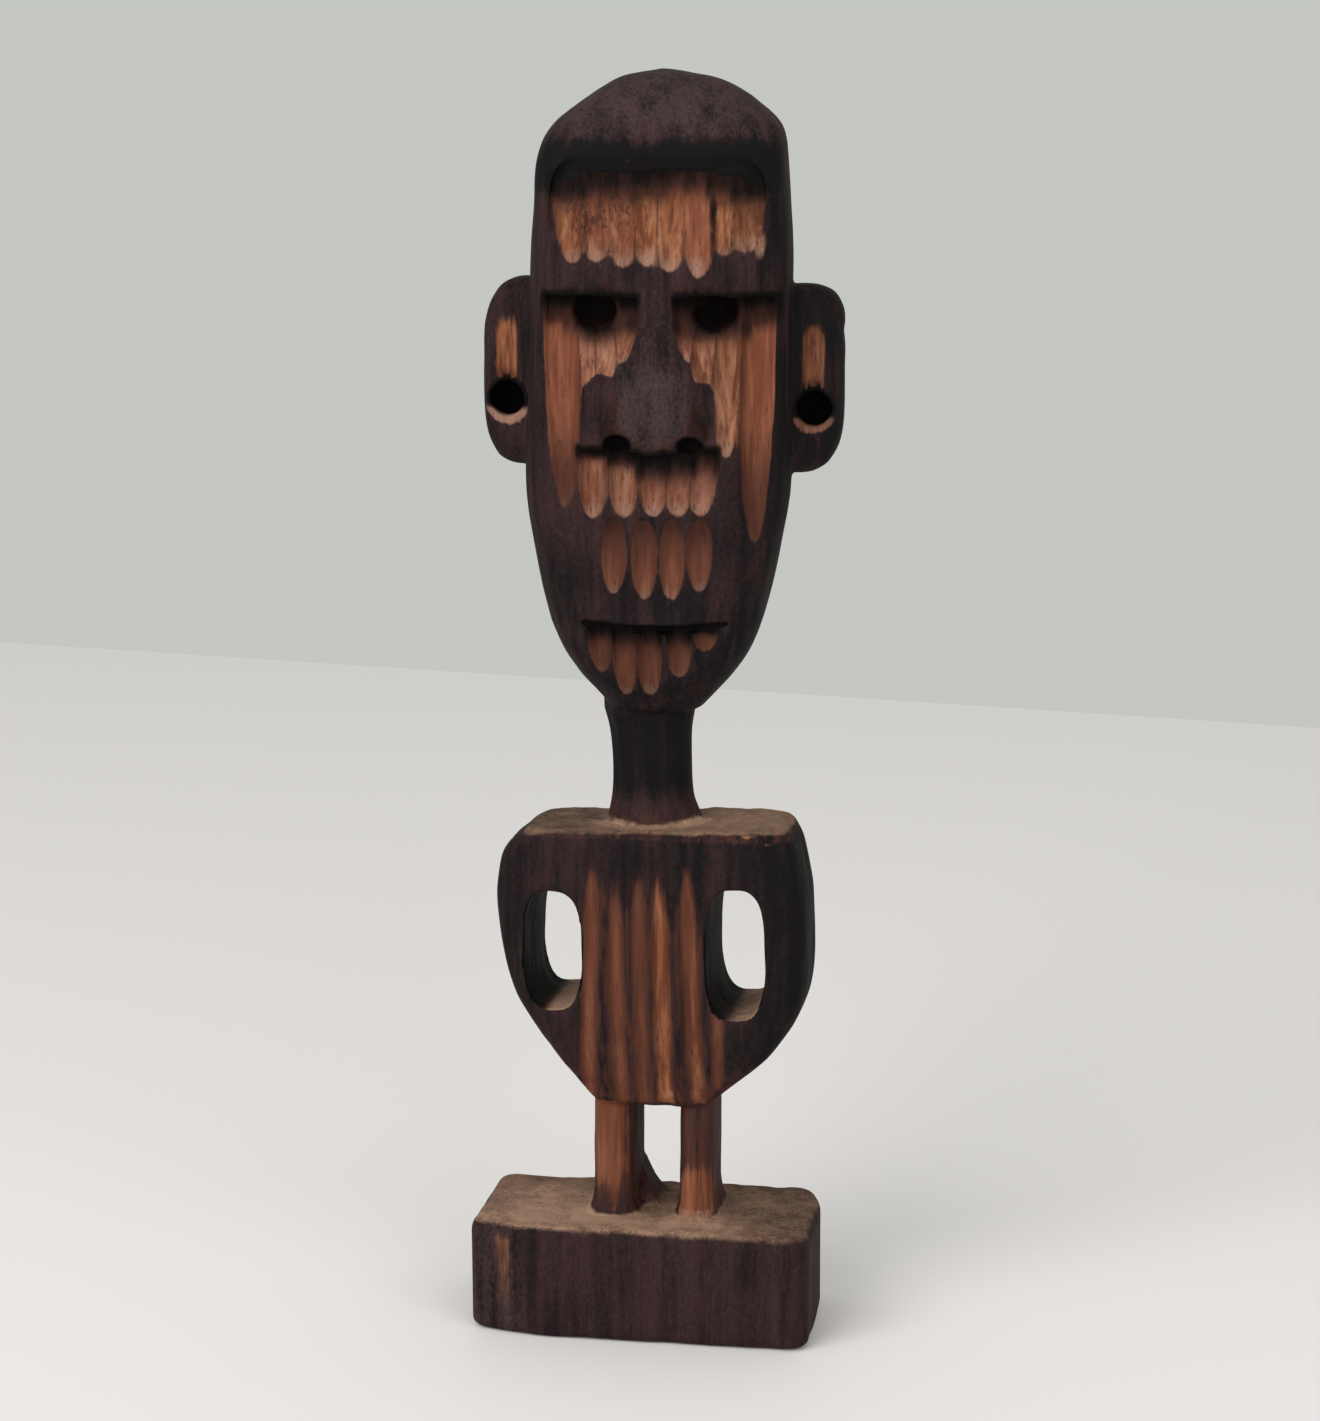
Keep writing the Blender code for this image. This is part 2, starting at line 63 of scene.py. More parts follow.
table_mesh = bpy.data.meshes.new("table")
table_mesh.from_pydata(
    (
        (-TABLE_SIDE, TABLE_FRONT, 0.0),
        (TABLE_SIDE, TABLE_FRONT, 0.0),
        (TABLE_SIDE, TABLE_BACK_RIGHT, 0.0),
        (-TABLE_SIDE, TABLE_BACK_LEFT, 0.0),
    ),
    (),
    ((0, 1, 2, 3),),
)
table = bpy.data.objects.new("table", table_mesh)
scene.collection.objects.link(table)
table_finish = bpy.data.materials.new("pale_table")
table_finish.use_nodes = True
table_shader = table_finish.node_tree.nodes["Principled BSDF"]
table_shader.inputs["Base Color"].default_value = (*TABLE_COLOUR, 1.0)
table_shader.inputs["Roughness"].default_value = TABLE_ROUGHNESS
table_mesh.materials.append(table_finish)

room = bpy.data.worlds.new("room")
scene.world = room
room.use_nodes = True
room.node_tree.nodes["Background"].inputs["Color"].default_value = (*WALL_COLOUR, 1.0)
room.node_tree.nodes["Background"].inputs["Strength"].default_value = 1.0

for name, place, size, power in ROOM_LIGHTS:
    lamp = bpy.data.lights.new(name, "AREA")
    lamp.shape = "SQUARE"
    lamp.size = size
    lamp.energy = power
    light = bpy.data.objects.new(name, lamp)
    scene.collection.objects.link(light)
    light.location = place
    aim = np.array(LIGHT_AIM) - np.array(place)
    light.rotation_euler = (
        math.acos(-aim[2] / np.linalg.norm(aim)),
        0.0,
        math.atan2(aim[0], -aim[1]) + math.pi,
    )

# The camera stands a little to the figure's own left and looks down on it, as in the photo. Its
# focal length and its shift are given in the photo's pixels.
VIEW_TURN = math.radians(9.4)
VIEW_DROP = math.radians(10.6)
VIEW_REACH = 0.636
VIEW_SIDESTEP = 0.0020
VIEW_HEIGHT = 0.2443
VIEW_SHIFT = (4.0, -0.5)
PHOTO_LONG_SIDE = 1421
FOCAL_PIXELS = 3285
SENSOR_WIDTH = 36.0

camera_data = bpy.data.cameras.new("camera")
camera_data.sensor_width = SENSOR_WIDTH
camera_data.lens = FOCAL_PIXELS * SENSOR_WIDTH / PHOTO_LONG_SIDE
camera_data.shift_x = VIEW_SHIFT[0] / PHOTO_LONG_SIDE
camera_data.shift_y = VIEW_SHIFT[1] / PHOTO_LONG_SIDE
camera = bpy.data.objects.new("camera", camera_data)
scene.collection.objects.link(camera)
camera.location = (
    VIEW_REACH * math.sin(VIEW_TURN) + VIEW_SIDESTEP,
    -VIEW_REACH * math.cos(VIEW_TURN),
    VIEW_HEIGHT,
)
camera.rotation_euler = (math.pi / 2 - VIEW_DROP, 0.0, VIEW_TURN)
scene.camera = camera
scene.view_settings.view_transform = "Standard"


# The block base: the uncut foot of the billet, squared with a blade, its front left corner
# split away and its edges rubbed round. The figure is one piece of wood, so it is worked here as
# one block of cells, in millimetres, each holding its distance from the wood's surface.
CELL = 0.45
CELLS_ROUND_IT = 4
EMPTY = 30.0
HAND_SWELL_SIZES = (9.0, 9.0, 13.0)
BLADE_SWELL_SIZES = (3.2, 3.2, 5.5)
BASE_LEFT = -33.75
BASE_RIGHT = 35.0
BASE_HALF_DEPTH = 17.0
BASE_TOP = 23.3
FRONT_CORNER_START = (-23.35, -17.0)
FRONT_CORNER_FACING = (-0.3107, -0.9505)
BACK_CORNER_START = (35.0, 9.8)
BACK_CORNER_FACING = (0.9043, 0.4270)
CORNER_EDGE_ROUNDING = 2.5
EDGE_WEAR = 3.0
EDGE_WEAR_CHANGE = 1.2

solid_low, solid_high = (np.array(corner) * 1000.0 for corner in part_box("ancestor_figure"))
cells_low = solid_low - CELLS_ROUND_IT * CELL
cells_count = np.ceil((solid_high - solid_low) / CELL).astype(int) + 2 * CELLS_ROUND_IT + 1
places = [cells_low[i] + CELL * np.arange(cells_count[i]) for i in range(3)]
wood = np.full(cells_count, EMPTY, np.float32)


def swells(sizes, seed):
    """Smooth random swells of the given sizes over all the cells, from -1 to 1."""
    random = np.random.default_rng(seed)
    counts = [int(n * CELL / size) + 3 for n, size in zip(cells_count, sizes)]
    field = random.uniform(-1.0, 1.0, counts).astype(np.float32)
    for axis, size in enumerate(sizes):
        at = np.arange(cells_count[axis]) * CELL / size
        low = at.astype(int)
        share = (at - low).astype(np.float32)
        share = share * share * (3.0 - 2.0 * share)
        share = share.reshape([-1 if i == axis else 1 for i in range(3)])
        field = np.take(field, low, axis) * (1.0 - share) + np.take(field, low + 1, axis) * share
    return field


def window(low, high):
    """The cells inside a box: their slices, and their places along each axis."""
    part = []
    for i in range(3):
        first = int(math.floor((low[i] - cells_low[i]) / CELL))
        last = int(math.ceil((high[i] - cells_low[i]) / CELL)) + 1
        part.append(slice(max(first, 0), max(last, 0)))
    part = tuple(part)
    x, y, z = (places[i][part[i]] for i in range(3))
    return part, x[:, None, None], y[None, :, None], z[None, None, :]


def within_both(a, b, rounding):
    """Where two shapes overlap, with the edge between them rounded off."""
    near = np.maximum(rounding - np.abs(a - b), 0.0)
    return np.maximum(a, b) + near * near / (4.0 * rounding)


def joined(a, b, rounding):
    """Two shapes as one, with the corner between them filled a little."""
    near = np.maximum(rounding - np.abs(a - b), 0.0)
    return np.minimum(a, b) - near * near / (4.0 * rounding)


def add_wood(part, shape, rounding):
    wood[part] = joined(wood[part], shape, rounding)


def cut_wood(part, shape, rounding):
    wood[part] = within_both(wood[part], -shape, rounding)


hand_swells = swells(HAND_SWELL_SIZES, 3)
blade_swells = swells(BLADE_SWELL_SIZES, 5)

part, x, y, z = window((-36, -20, -3), (37, 20, 27))
worn = EDGE_WEAR + EDGE_WEAR_CHANGE * hand_swells[part]
side = within_both(-y - BASE_HALF_DEPTH, x - BASE_RIGHT, worn + 1.0)
side = within_both(side, within_both(y - BASE_HALF_DEPTH, BASE_LEFT - x, worn), worn)
for (start_x, start_y), (facing_x, facing_y) in (
    (FRONT_CORNER_START, FRONT_CORNER_FACING),
    (BACK_CORNER_START, BACK_CORNER_FACING),
):
    split = (x - start_x) * facing_x + (y - start_y) * facing_y
    side = within_both(side, split, CORNER_EDGE_ROUNDING)
base = within_both(side, z - BASE_TOP + 0.25 * blade_swells[part], worn * 0.9)
add_wood(part, within_both(base, -z, worn * 0.8), 0.1)


# The two legs, squared posts left standing on the base, with a scrap of uncut wood beside the
# left one where the blade didn't reach the bottom of the gap.
LEG_HALF_DEPTH = 9.5
LEG_SETBACK = 2.5
LEG_SQUARENESS = 3.4
LEG_FLARE = 0.9
LEG_FLARE_RISE = 5.0
HIP = 46.3
# Each leg: its middle across, and half its width
LEFT_LEG = (-5.85, 4.4)
RIGHT_LEG = (10.8, 3.6)
RAMP_START = -1.45
RAMP_RISE = 7.5
RAMP_RUN = 7.0
RAMP_HOLLOW = 2.4
RAMP_BACK = 10.1
RAMP_FRONT = 3.4
RAMP_FRONT_LEAN = 0.5


def level_section(x, y, left, right, front, back, squareness):
    """Distance from a rounded level outline with its own reach on each side, in millimetres."""
    across_reach = np.where(x > 0, right, left)
    deep_reach = np.where(y > 0, back, front)
    across = np.abs(x) / across_reach
    deep = np.abs(y) / deep_reach
    size = np.maximum((across**squareness + deep**squareness) ** (1.0 / squareness), 1e-4)
    slope_x = (across / size) ** (squareness - 1.0) / across_reach
    slope_y = (deep / size) ** (squareness - 1.0) / deep_reach
    return (size - 1.0) / np.sqrt(slope_x * slope_x + slope_y * slope_y)


for middle, half_width in (LEFT_LEG, RIGHT_LEG):
    part, x, y, z = window((middle - 8, -11, BASE_TOP - 3), (middle + 8, 16, HIP + 3))
    flare = LEG_FLARE * np.clip(1.0 - (z - BASE_TOP) / LEG_FLARE_RISE, 0.0, 1.0) ** 2
    leg = level_section(
        x - middle,
        y - LEG_SETBACK,
        half_width + flare,
        half_width + flare,
        LEG_HALF_DEPTH + flare,
        LEG_HALF_DEPTH + flare,
        LEG_SQUARENESS,
    )
    leg = leg + 0.16 * blade_swells[part]
    leg = np.maximum(leg, np.abs(z - (BASE_TOP + HIP) / 2) - (HIP - BASE_TOP) / 2 - 2.0)
    add_wood(part, leg, 0.8)

part, x, y, z = window((RAMP_START - 3, -4, BASE_TOP - 2), (RAMP_START + 9, 12, BASE_TOP + 11))
run = np.clip((x - RAMP_START) / RAMP_RUN, 0.0, 1.0)
ramp = (z - BASE_TOP - RAMP_RISE * (1.0 - run) ** RAMP_HOLLOW) * 0.6
ramp = within_both(ramp, x - RAMP_START - RAMP_RUN, 0.5)
ramp = within_both(ramp, y - RAMP_BACK, 0.8)
front = RAMP_FRONT - RAMP_FRONT_LEAN * (BASE_TOP + RAMP_RISE - z)
ramp = within_both(ramp, (front - y) * 0.9, 1.2)
ramp = ramp + 0.25 * blade_swells[part]
add_wood(part, ramp, 0.8)


# The trunk and arms: one shield-shaped slab of the same wood, sawn flat across the shoulders and
# thinned with a blade to the hips.
BODY_SHIFT = 2.0
TRUNK_HALF_WIDTH = 31.3
TRUNK_HALF_DEPTH = 13.0
TRUNK_HEIGHT = 57.2
SHOULDER = HIP + TRUNK_HEIGHT
SHOULDER_SLOPE = 0.03
SHOULDER_ROUNDING = 1.7
HIP_ROUNDING = 2.4
# How far in the skin starts, so that the swells don't take it past the solid's
SKIN_INSET = 0.1
# How far across an outline its front still counts as front, as a share of the half width
FRONT_LIMIT = 0.85
# Each row: share of the height, then the left, right, front and back reach as shares of the half
# width and half depth, then how square the level outline is.
TRUNK_STATIONS = (
    (0.000, 0.370, 0.400, 0.66, 0.84, 5.0),
    (0.030, 0.405, 0.435, 0.74, 0.88, 5.0),
    (0.200, 0.655, 0.780, 0.88, 0.94, 5.0),
    (0.360, 0.850, 0.960, 0.97, 0.98, 5.0),
    (0.520, 0.950, 1.004, 1.00, 1.00, 5.0),
    (0.750, 1.000, 0.992, 1.00, 1.00, 5.0),
    (0.870, 0.972, 0.950, 1.00, 1.00, 5.0),
    (0.925, 0.930, 0.925, 1.00, 1.00, 5.0),
    (0.970, 0.840, 0.885, 0.985, 0.985, 5.0),
    (1.000, 0.795, 0.850, 0.945, 0.950, 5.0),
)


def eased(stations):
    """A station table filled in to 400 rows that run smoothly through the given ones."""
    rows = np.array(stations)
    shares = np.linspace(0.0, 1.0, 401)
    low = np.clip(np.searchsorted(rows[:, 0], shares, "right") - 1, 0, len(rows) - 2)
    slopes = np.empty_like(rows)
    for i in range(len(rows)):
        before = max(i - 1, 0)
        after = min(i + 1, len(rows) - 1)
        slopes[i] = (rows[after] - rows[before]) / (rows[after, 0] - rows[before, 0])
    step = (rows[low + 1, 0] - rows[low, 0])[:, None]
    t = ((shares - rows[low, 0]) / step[:, 0])[:, None]
    filled = (2 * t**3 - 3 * t**2 + 1) * rows[low] + (t**3 - 2 * t**2 + t) * slopes[low] * step
    filled += (3 * t**2 - 2 * t**3) * rows[low + 1] + (t**3 - t**2) * slopes[low + 1] * step
    filled[:, 0] = shares
    return filled


def reach_at(table, share, half_width, half_depth):
    """The left, right, front and back reach, and the squareness, at a share of the height."""
    left, right, front, back, squareness = (
        np.interp(share, table[:, 0], table[:, i]) for i in range(1, 6)
    )
    return (
        left * half_width,
        right * half_width,
        front * half_depth,
        back * half_depth,
        squareness,
    )


def front_of(reach, x):
    """Where the front of a level outline lies at one place across it."""
    left, right, front, _, squareness = reach
    across = np.minimum(np.abs(x) / np.where(x > 0, right, left), FRONT_LIMIT)
    return -front * (1.0 - across**squareness) ** (1.0 / squareness)


trunk_table = eased(TRUNK_STATIONS)
part, x, y, z = window((-33, -16, HIP - 3), (37, 16, SHOULDER + 4))
rise = np.clip((z - HIP) / TRUNK_HEIGHT, 0.0, 1.0)
rise = np.clip((z - HIP - SHOULDER_SLOPE * (x - BODY_SHIFT) * rise**4) / TRUNK_HEIGHT, 0.0, 1.0)
trunk = level_section(
    x - BODY_SHIFT,
    y,
    *reach_at(trunk_table, rise, TRUNK_HALF_WIDTH, TRUNK_HALF_DEPTH),
)
trunk = trunk + 0.20 * hand_swells[part] + 0.12 * blade_swells[part] + SKIN_INSET
top = z - SHOULDER - SHOULDER_SLOPE * (x - BODY_SHIFT) + 0.22 * blade_swells[part] + SKIN_INSET
trunk = within_both(trunk, top, SHOULDER_ROUNDING)
trunk = within_both(trunk, HIP - z, HIP_ROUNDING)
add_wood(part, trunk, 0.7)


# The neck: a short post of the same wood, left standing on the shoulders and pared with a knife
# into upright facets.
NECK_HALF_WIDTH = 8.1
NECK_HALF_DEPTH = 7.5
NECK_LENGTH = 22.3
NECK_MIDDLE = (1.3, 1.5)
CHIN = SHOULDER + NECK_LENGTH
NECK_STATIONS = (
    (0.000, 1.13, 1.20, 1.14, 1.10, 3.0),
    (0.200, 1.02, 1.00, 1.00, 1.00, 3.2),
    (0.500, 0.98, 0.95, 0.96, 0.98, 3.2),
    (0.800, 1.06, 0.94, 0.98, 1.02, 3.0),
    (1.000, 1.20, 1.03, 1.10, 1.12, 2.8),
)
FACET_ROUNDNESS = 1.5
FACET_EDGE_ROUNDING = 0.15
# Each row: which way a facet faces, in degrees, and how much it takes off
NECK_FACETS = (
    (-112.0, 0.55),
    (-84.0, 0.50),
    (-56.0, 0.80),
    (-146.0, 0.80),
    (-22.0, 0.45),
    (172.0, 0.35),
    (18.0, 0.45),
    (55.0, 0.60),
    (92.0, 0.40),
    (132.0, 0.60),
)

neck_table = eased(NECK_STATIONS)
part, x, y, z = window((-12, -12, SHOULDER - 3), (16, 15, CHIN + 6))
rise = np.clip((z - SHOULDER) / NECK_LENGTH, 0.0, 1.0)
reach = reach_at(neck_table, rise, NECK_HALF_WIDTH, NECK_HALF_DEPTH)
neck = level_section(x - NECK_MIDDLE[0], y - NECK_MIDDLE[1], *reach)
for facing, depth in NECK_FACETS:
    facing_x = math.cos(math.radians(facing))
    facing_y = math.sin(math.radians(facing))
    across = (reach[1] if facing_x > 0 else reach[0]) * abs(facing_x)
    deep = (reach[3] if facing_y > 0 else reach[2]) * abs(facing_y)
    support = (across**FACET_ROUNDNESS + deep**FACET_ROUNDNESS) ** (1 / FACET_ROUNDNESS)
    plane = (x - NECK_MIDDLE[0]) * facing_x + (y - NECK_MIDDLE[1]) * facing_y - support + depth
    neck = within_both(neck, plane, FACET_EDGE_ROUNDING)
neck = neck + 0.10 * blade_swells[part]
neck = np.maximum(neck, np.maximum(SHOULDER - 2.0 - z, z - CHIN - 4.0))
add_wood(part, neck, 0.5)


# The long head, cut from the top of the billet and turned a little on the neck: a plain domed cap
# of hair over a face that tapers to the chin.
HEAD_MIDDLE = 2.8
HEAD_HALF_WIDTH = 25.5
HEAD_HALF_DEPTH = 17.0
HEAD_HEIGHT = 123.7
HEAD_TURN = math.radians(5.0)
CROWN_ROUNDING = 2.5
CHIN_ROUNDING = 1.5
STEEPEST = 3.0
HEAD_STATIONS = (
    (0.000, 0.36, 0.31, 0.44, 0.50, 2.4),
    (0.026, 0.46, 0.43, 0.60, 0.58, 2.5),
    (0.063, 0.62, 0.59, 0.75, 0.68, 2.7),
    (0.102, 0.74, 0.71, 0.83, 0.76, 2.9),
    (0.153, 0.84, 0.81, 0.89, 0.84, 3.1),
    (0.255, 0.945, 0.92, 0.94, 0.93, 3.3),
    (0.357, 1.015, 1.01, 0.97, 0.98, 3.4),
    (0.530, 0.990, 1.010, 1.00, 1.00, 3.4),
    (0.685, 0.975, 1.010, 1.00, 1.00, 3.4),
    (0.796, 0.945, 0.985, 1.00, 0.97, 3.4),
    (0.858, 0.925, 0.970, 0.965, 0.92, 3.2),
    (0.896, 0.865, 0.950, 0.90, 0.85, 3.0),
    (0.920, 0.780, 0.900, 0.83, 0.78, 2.8),
    (0.944, 0.630, 0.780, 0.73, 0.68, 2.6),
    (0.969, 0.455, 0.610, 0.58, 0.55, 2.4),
    (0.990, 0.270, 0.390, 0.37, 0.36, 2.2),
    (1.000, 0.130, 0.210, 0.20, 0.20, 2.0),
)
head_table = eased(HEAD_STATIONS)
turn_c = math.cos(HEAD_TURN)
turn_s = math.sin(HEAD_TURN)


def from_head(x, y, z):
    """A place in the head's own frame: across from its middle, along, and up from the chin."""
    shifted = x - HEAD_MIDDLE
    return shifted * turn_c + y * turn_s, y * turn_c - shifted * turn_s, z - CHIN


def head_window(low, high):
    """The cells round a box that is given in the head's own frame, and their places there."""
    corners = [(x, y) for x in (low[0], high[0]) for y in (low[1], high[1])]
    turned = [(x * turn_c - y * turn_s + HEAD_MIDDLE, x * turn_s + y * turn_c) for x, y in corners]
    xs, ys = zip(*turned)
    part, x, y, z = window((min(xs), min(ys), low[2] + CHIN), (max(xs), max(ys), high[2] + CHIN))
    return (part, *from_head(x, y, z))


def face_at(x, z):
    """Where the front of the uncut head lies at one place on the face."""
    reach = reach_at(head_table, np.clip(z / HEAD_HEIGHT, 0, 1), HEAD_HALF_WIDTH, HEAD_HALF_DEPTH)
    return front_of(reach, x)


part, x, y, z = head_window((-28, -20, -3), (28, 20, HEAD_HEIGHT + 3))
reach = reach_at(head_table, np.clip(z / HEAD_HEIGHT, 0, 1), HEAD_HALF_WIDTH, HEAD_HALF_DEPTH)
head = level_section(x, y, *reach)
steepness = np.gradient(head, CELL, axis=2)
head = head / np.sqrt(1.0 + np.minimum(steepness * steepness, STEEPEST * STEEPEST))
head = head + 0.22 * hand_swells[part] + 0.06 * blade_swells[part] + SKIN_INSET
head = within_both(head, z - HEAD_HEIGHT, CROWN_ROUNDING)
head = within_both(head, -z, CHIN_ROUNDING)
add_wood(part, head, 0.4)


# The ears: block lugs of the same wood, left on the sides of the head and rounded over with a
# blade at their outer corners.
EAR_HALF_DEPTH = 9.0
EAR_HEIGHT = 36.3
EAR_OVERLAP = 5.0
EAR_SETBACK = 3.0
EAR_SQUARENESS = 3.6
EAR_END_ROUNDING = 2.4
EAR_CORNER_START = 0.75
# Each row: sign across, reach, height of its foot, height of its hole above the foot, and how much
# fuller its top corner is
EARS = ((-1, 9.0, 47.9, 13.2, -0.05), (1, 10.4, 46.6, 12.8, 0.30))
EAR_STATIONS = (
    (0.00, 0.48, 0.66),
    (0.06, 0.72, 0.82),
    (0.18, 0.93, 0.94),
    (0.38, 1.00, 1.00),
    (0.70, 0.99, 1.00),
    (0.85, 0.88, 0.94),
    (0.95, 0.66, 0.84),
    (1.00, 0.46, 0.70),
)

ear_table = eased(EAR_STATIONS)
for sign, reach, foot, _, fuller in EARS:
    root = sign * (HEAD_HALF_WIDTH - EAR_OVERLAP)
    tip = sign * (HEAD_HALF_WIDTH + reach + 3)
    part, x, y, z = head_window(
        (min(root, tip), -9, foot - 3),
        (max(root, tip), 15, foot + EAR_HEIGHT + 3),
    )
    share = np.clip((z - foot) / EAR_HEIGHT, 0.0, 1.0)
    out = np.interp(share, ear_table[:, 0], ear_table[:, 1])
    cornered = np.clip((share - EAR_CORNER_START) / (1.0 - EAR_CORNER_START), 0.0, 1.0)
    out = np.minimum(out * (1.0 + fuller * cornered), 1.0)
    out = out * reach + EAR_OVERLAP
    deep = np.interp(share, ear_table[:, 0], ear_table[:, 2]) * EAR_HALF_DEPTH
    lug = level_section(
        sign * (x - root),
        y - EAR_SETBACK,
        EAR_OVERLAP,
        out,
        deep,
        deep,
        EAR_SQUARENESS,
    )
    lug = lug + 0.15 * hand_swells[part] + 0.08 * blade_swells[part] + SKIN_INSET
    lug = within_both(lug, np.abs(z - foot - EAR_HEIGHT / 2) - EAR_HEIGHT / 2, EAR_END_ROUNDING)
    add_wood(part, lug, 0.6)


# The nose: a low ball left proud of the face between the cheeks, where the wood beside it is pared
# away, with a small wing on each side. Its places are in the head's own frame.
NOSE_RISE = 60.2
NOSE_REACH = (8.3, 5.0, 8.8)
NOSE_PROUD = 3.2
NOSE_WINGS = ((-7.2, 55.6), (7.0, 55.2))
NOSE_WING_REACH = (3.6, 3.0, 3.2)
NOSE_WING_PROUD = 1.9
NOSE_FLANKS = ((-11.0, 62.0), (10.6, 61.0))
NOSE_FLANK_REACH = (5.0, 5.0, 9.5)
NOSE_FLANK_DEPTH = 2.0


def ball(x, y, z, reach):
    """Distance from an egg shape about the origin, in millimetres."""
    size = np.sqrt((x / reach[0]) ** 2 + (y / reach[1]) ** 2 + (z / reach[2]) ** 2)
    slope = np.sqrt((x / reach[0] ** 2) ** 2 + (y / reach[1] ** 2) ** 2 + (z / reach[2] ** 2) ** 2)
    return (size - 1.0) * size / np.maximum(slope, 1e-4)


for across, height in NOSE_FLANKS:
    front = float(face_at(np.array(across), height)) - NOSE_FLANK_REACH[1] + NOSE_FLANK_DEPTH
    part, x, y, z = head_window((across - 7, -22, height - 12), (across + 7, -12, height + 12))
    cut_wood(part, ball(x - across, y - front, z - height, NOSE_FLANK_REACH), 1.0)
part, x, y, z = head_window((-11, -23, NOSE_RISE - 11), (11, -10, NOSE_RISE + 11))
nose_y = float(face_at(np.array(0.0), NOSE_RISE)) + NOSE_PROUD
add_wood(part, ball(x, y - nose_y, z - NOSE_RISE, NOSE_REACH), 0.8)
for across, height in NOSE_WINGS:
    wing_y = float(face_at(np.array(across), height)) + NOSE_WING_PROUD
    part, x, y, z = head_window((across - 6, -22, height - 6), (across + 6, -10, height + 6))
    add_wood(part, ball(x - across, y - wing_y, z - height, NOSE_WING_REACH), 0.6)

uncut_wood = wood.copy()


# The arm gaps, which set the arms off from the trunk: each is drilled and cut right through the
# slab with round ends, and its rims are rubbed round.
GAP_HALF_WIDTH = 5.85
GAP_SQUARENESS = 3.0
GAP_RIM_ROUNDING = 0.9
# Each row: a gap's middle across and up, and half its height
ARM_GAPS = ((-16.8, 78.6, 12.0), (19.5, 79.2, 13.1))


def gap_outline(x, z, half_height):
    """Distance from a gap's upright outline about its own middle."""
    return level_section(
        x,
        z,
        GAP_HALF_WIDTH,
        GAP_HALF_WIDTH,
        half_height,
        half_height,
        GAP_SQUARENESS,
    )


for middle, height, half_height in ARM_GAPS:
    part, x, y, z = window(
        (middle - 10, -16, height - half_height - 4),
        (middle + 10, 16, height + half_height + 4),
    )
    gap = gap_outline(x - middle, z - height, half_height)
    cut_wood(part, gap + 0.18 * blade_swells[part] + SKIN_INSET, GAP_RIM_ROUNDING)


# The gouge cuts of the face: rows of round-bottomed strokes driven upwards, each from a rounded
# tip at the surface down to a stop cut square under the hair, the brow, the nose or the lip.
HAIR_EDGE = 103.9
HAIR_COVE = 5.6
BROW_EDGE = 81.3
LIP_TOP = 52.3
BEARD_TOP = 38.8
MOUTH_LINE = 18.9
MOUTH_HALF_WIDTH = 14.0
MOUTH_SAG = 1.2
STOP_UNEVENNESS = 0.25
STOP_ROUNDING = 0.4
# The forehead's outer stops lie lower: how far, from which share of the half width, and over what
CORNER_DROP = 2.2
CORNER_DROP_START = 0.42
CORNER_DROP_RUN = 0.26
# The lip's middle stops lie lower, under the nose
LIP_DROP = 1.0
LIP_DROP_HALF_WIDTH = 8.0
# The beard's cuts run out to a point from this share of their length
BEARD_POINT_START = 0.35
BEARD_POINT_RISE = 0.9
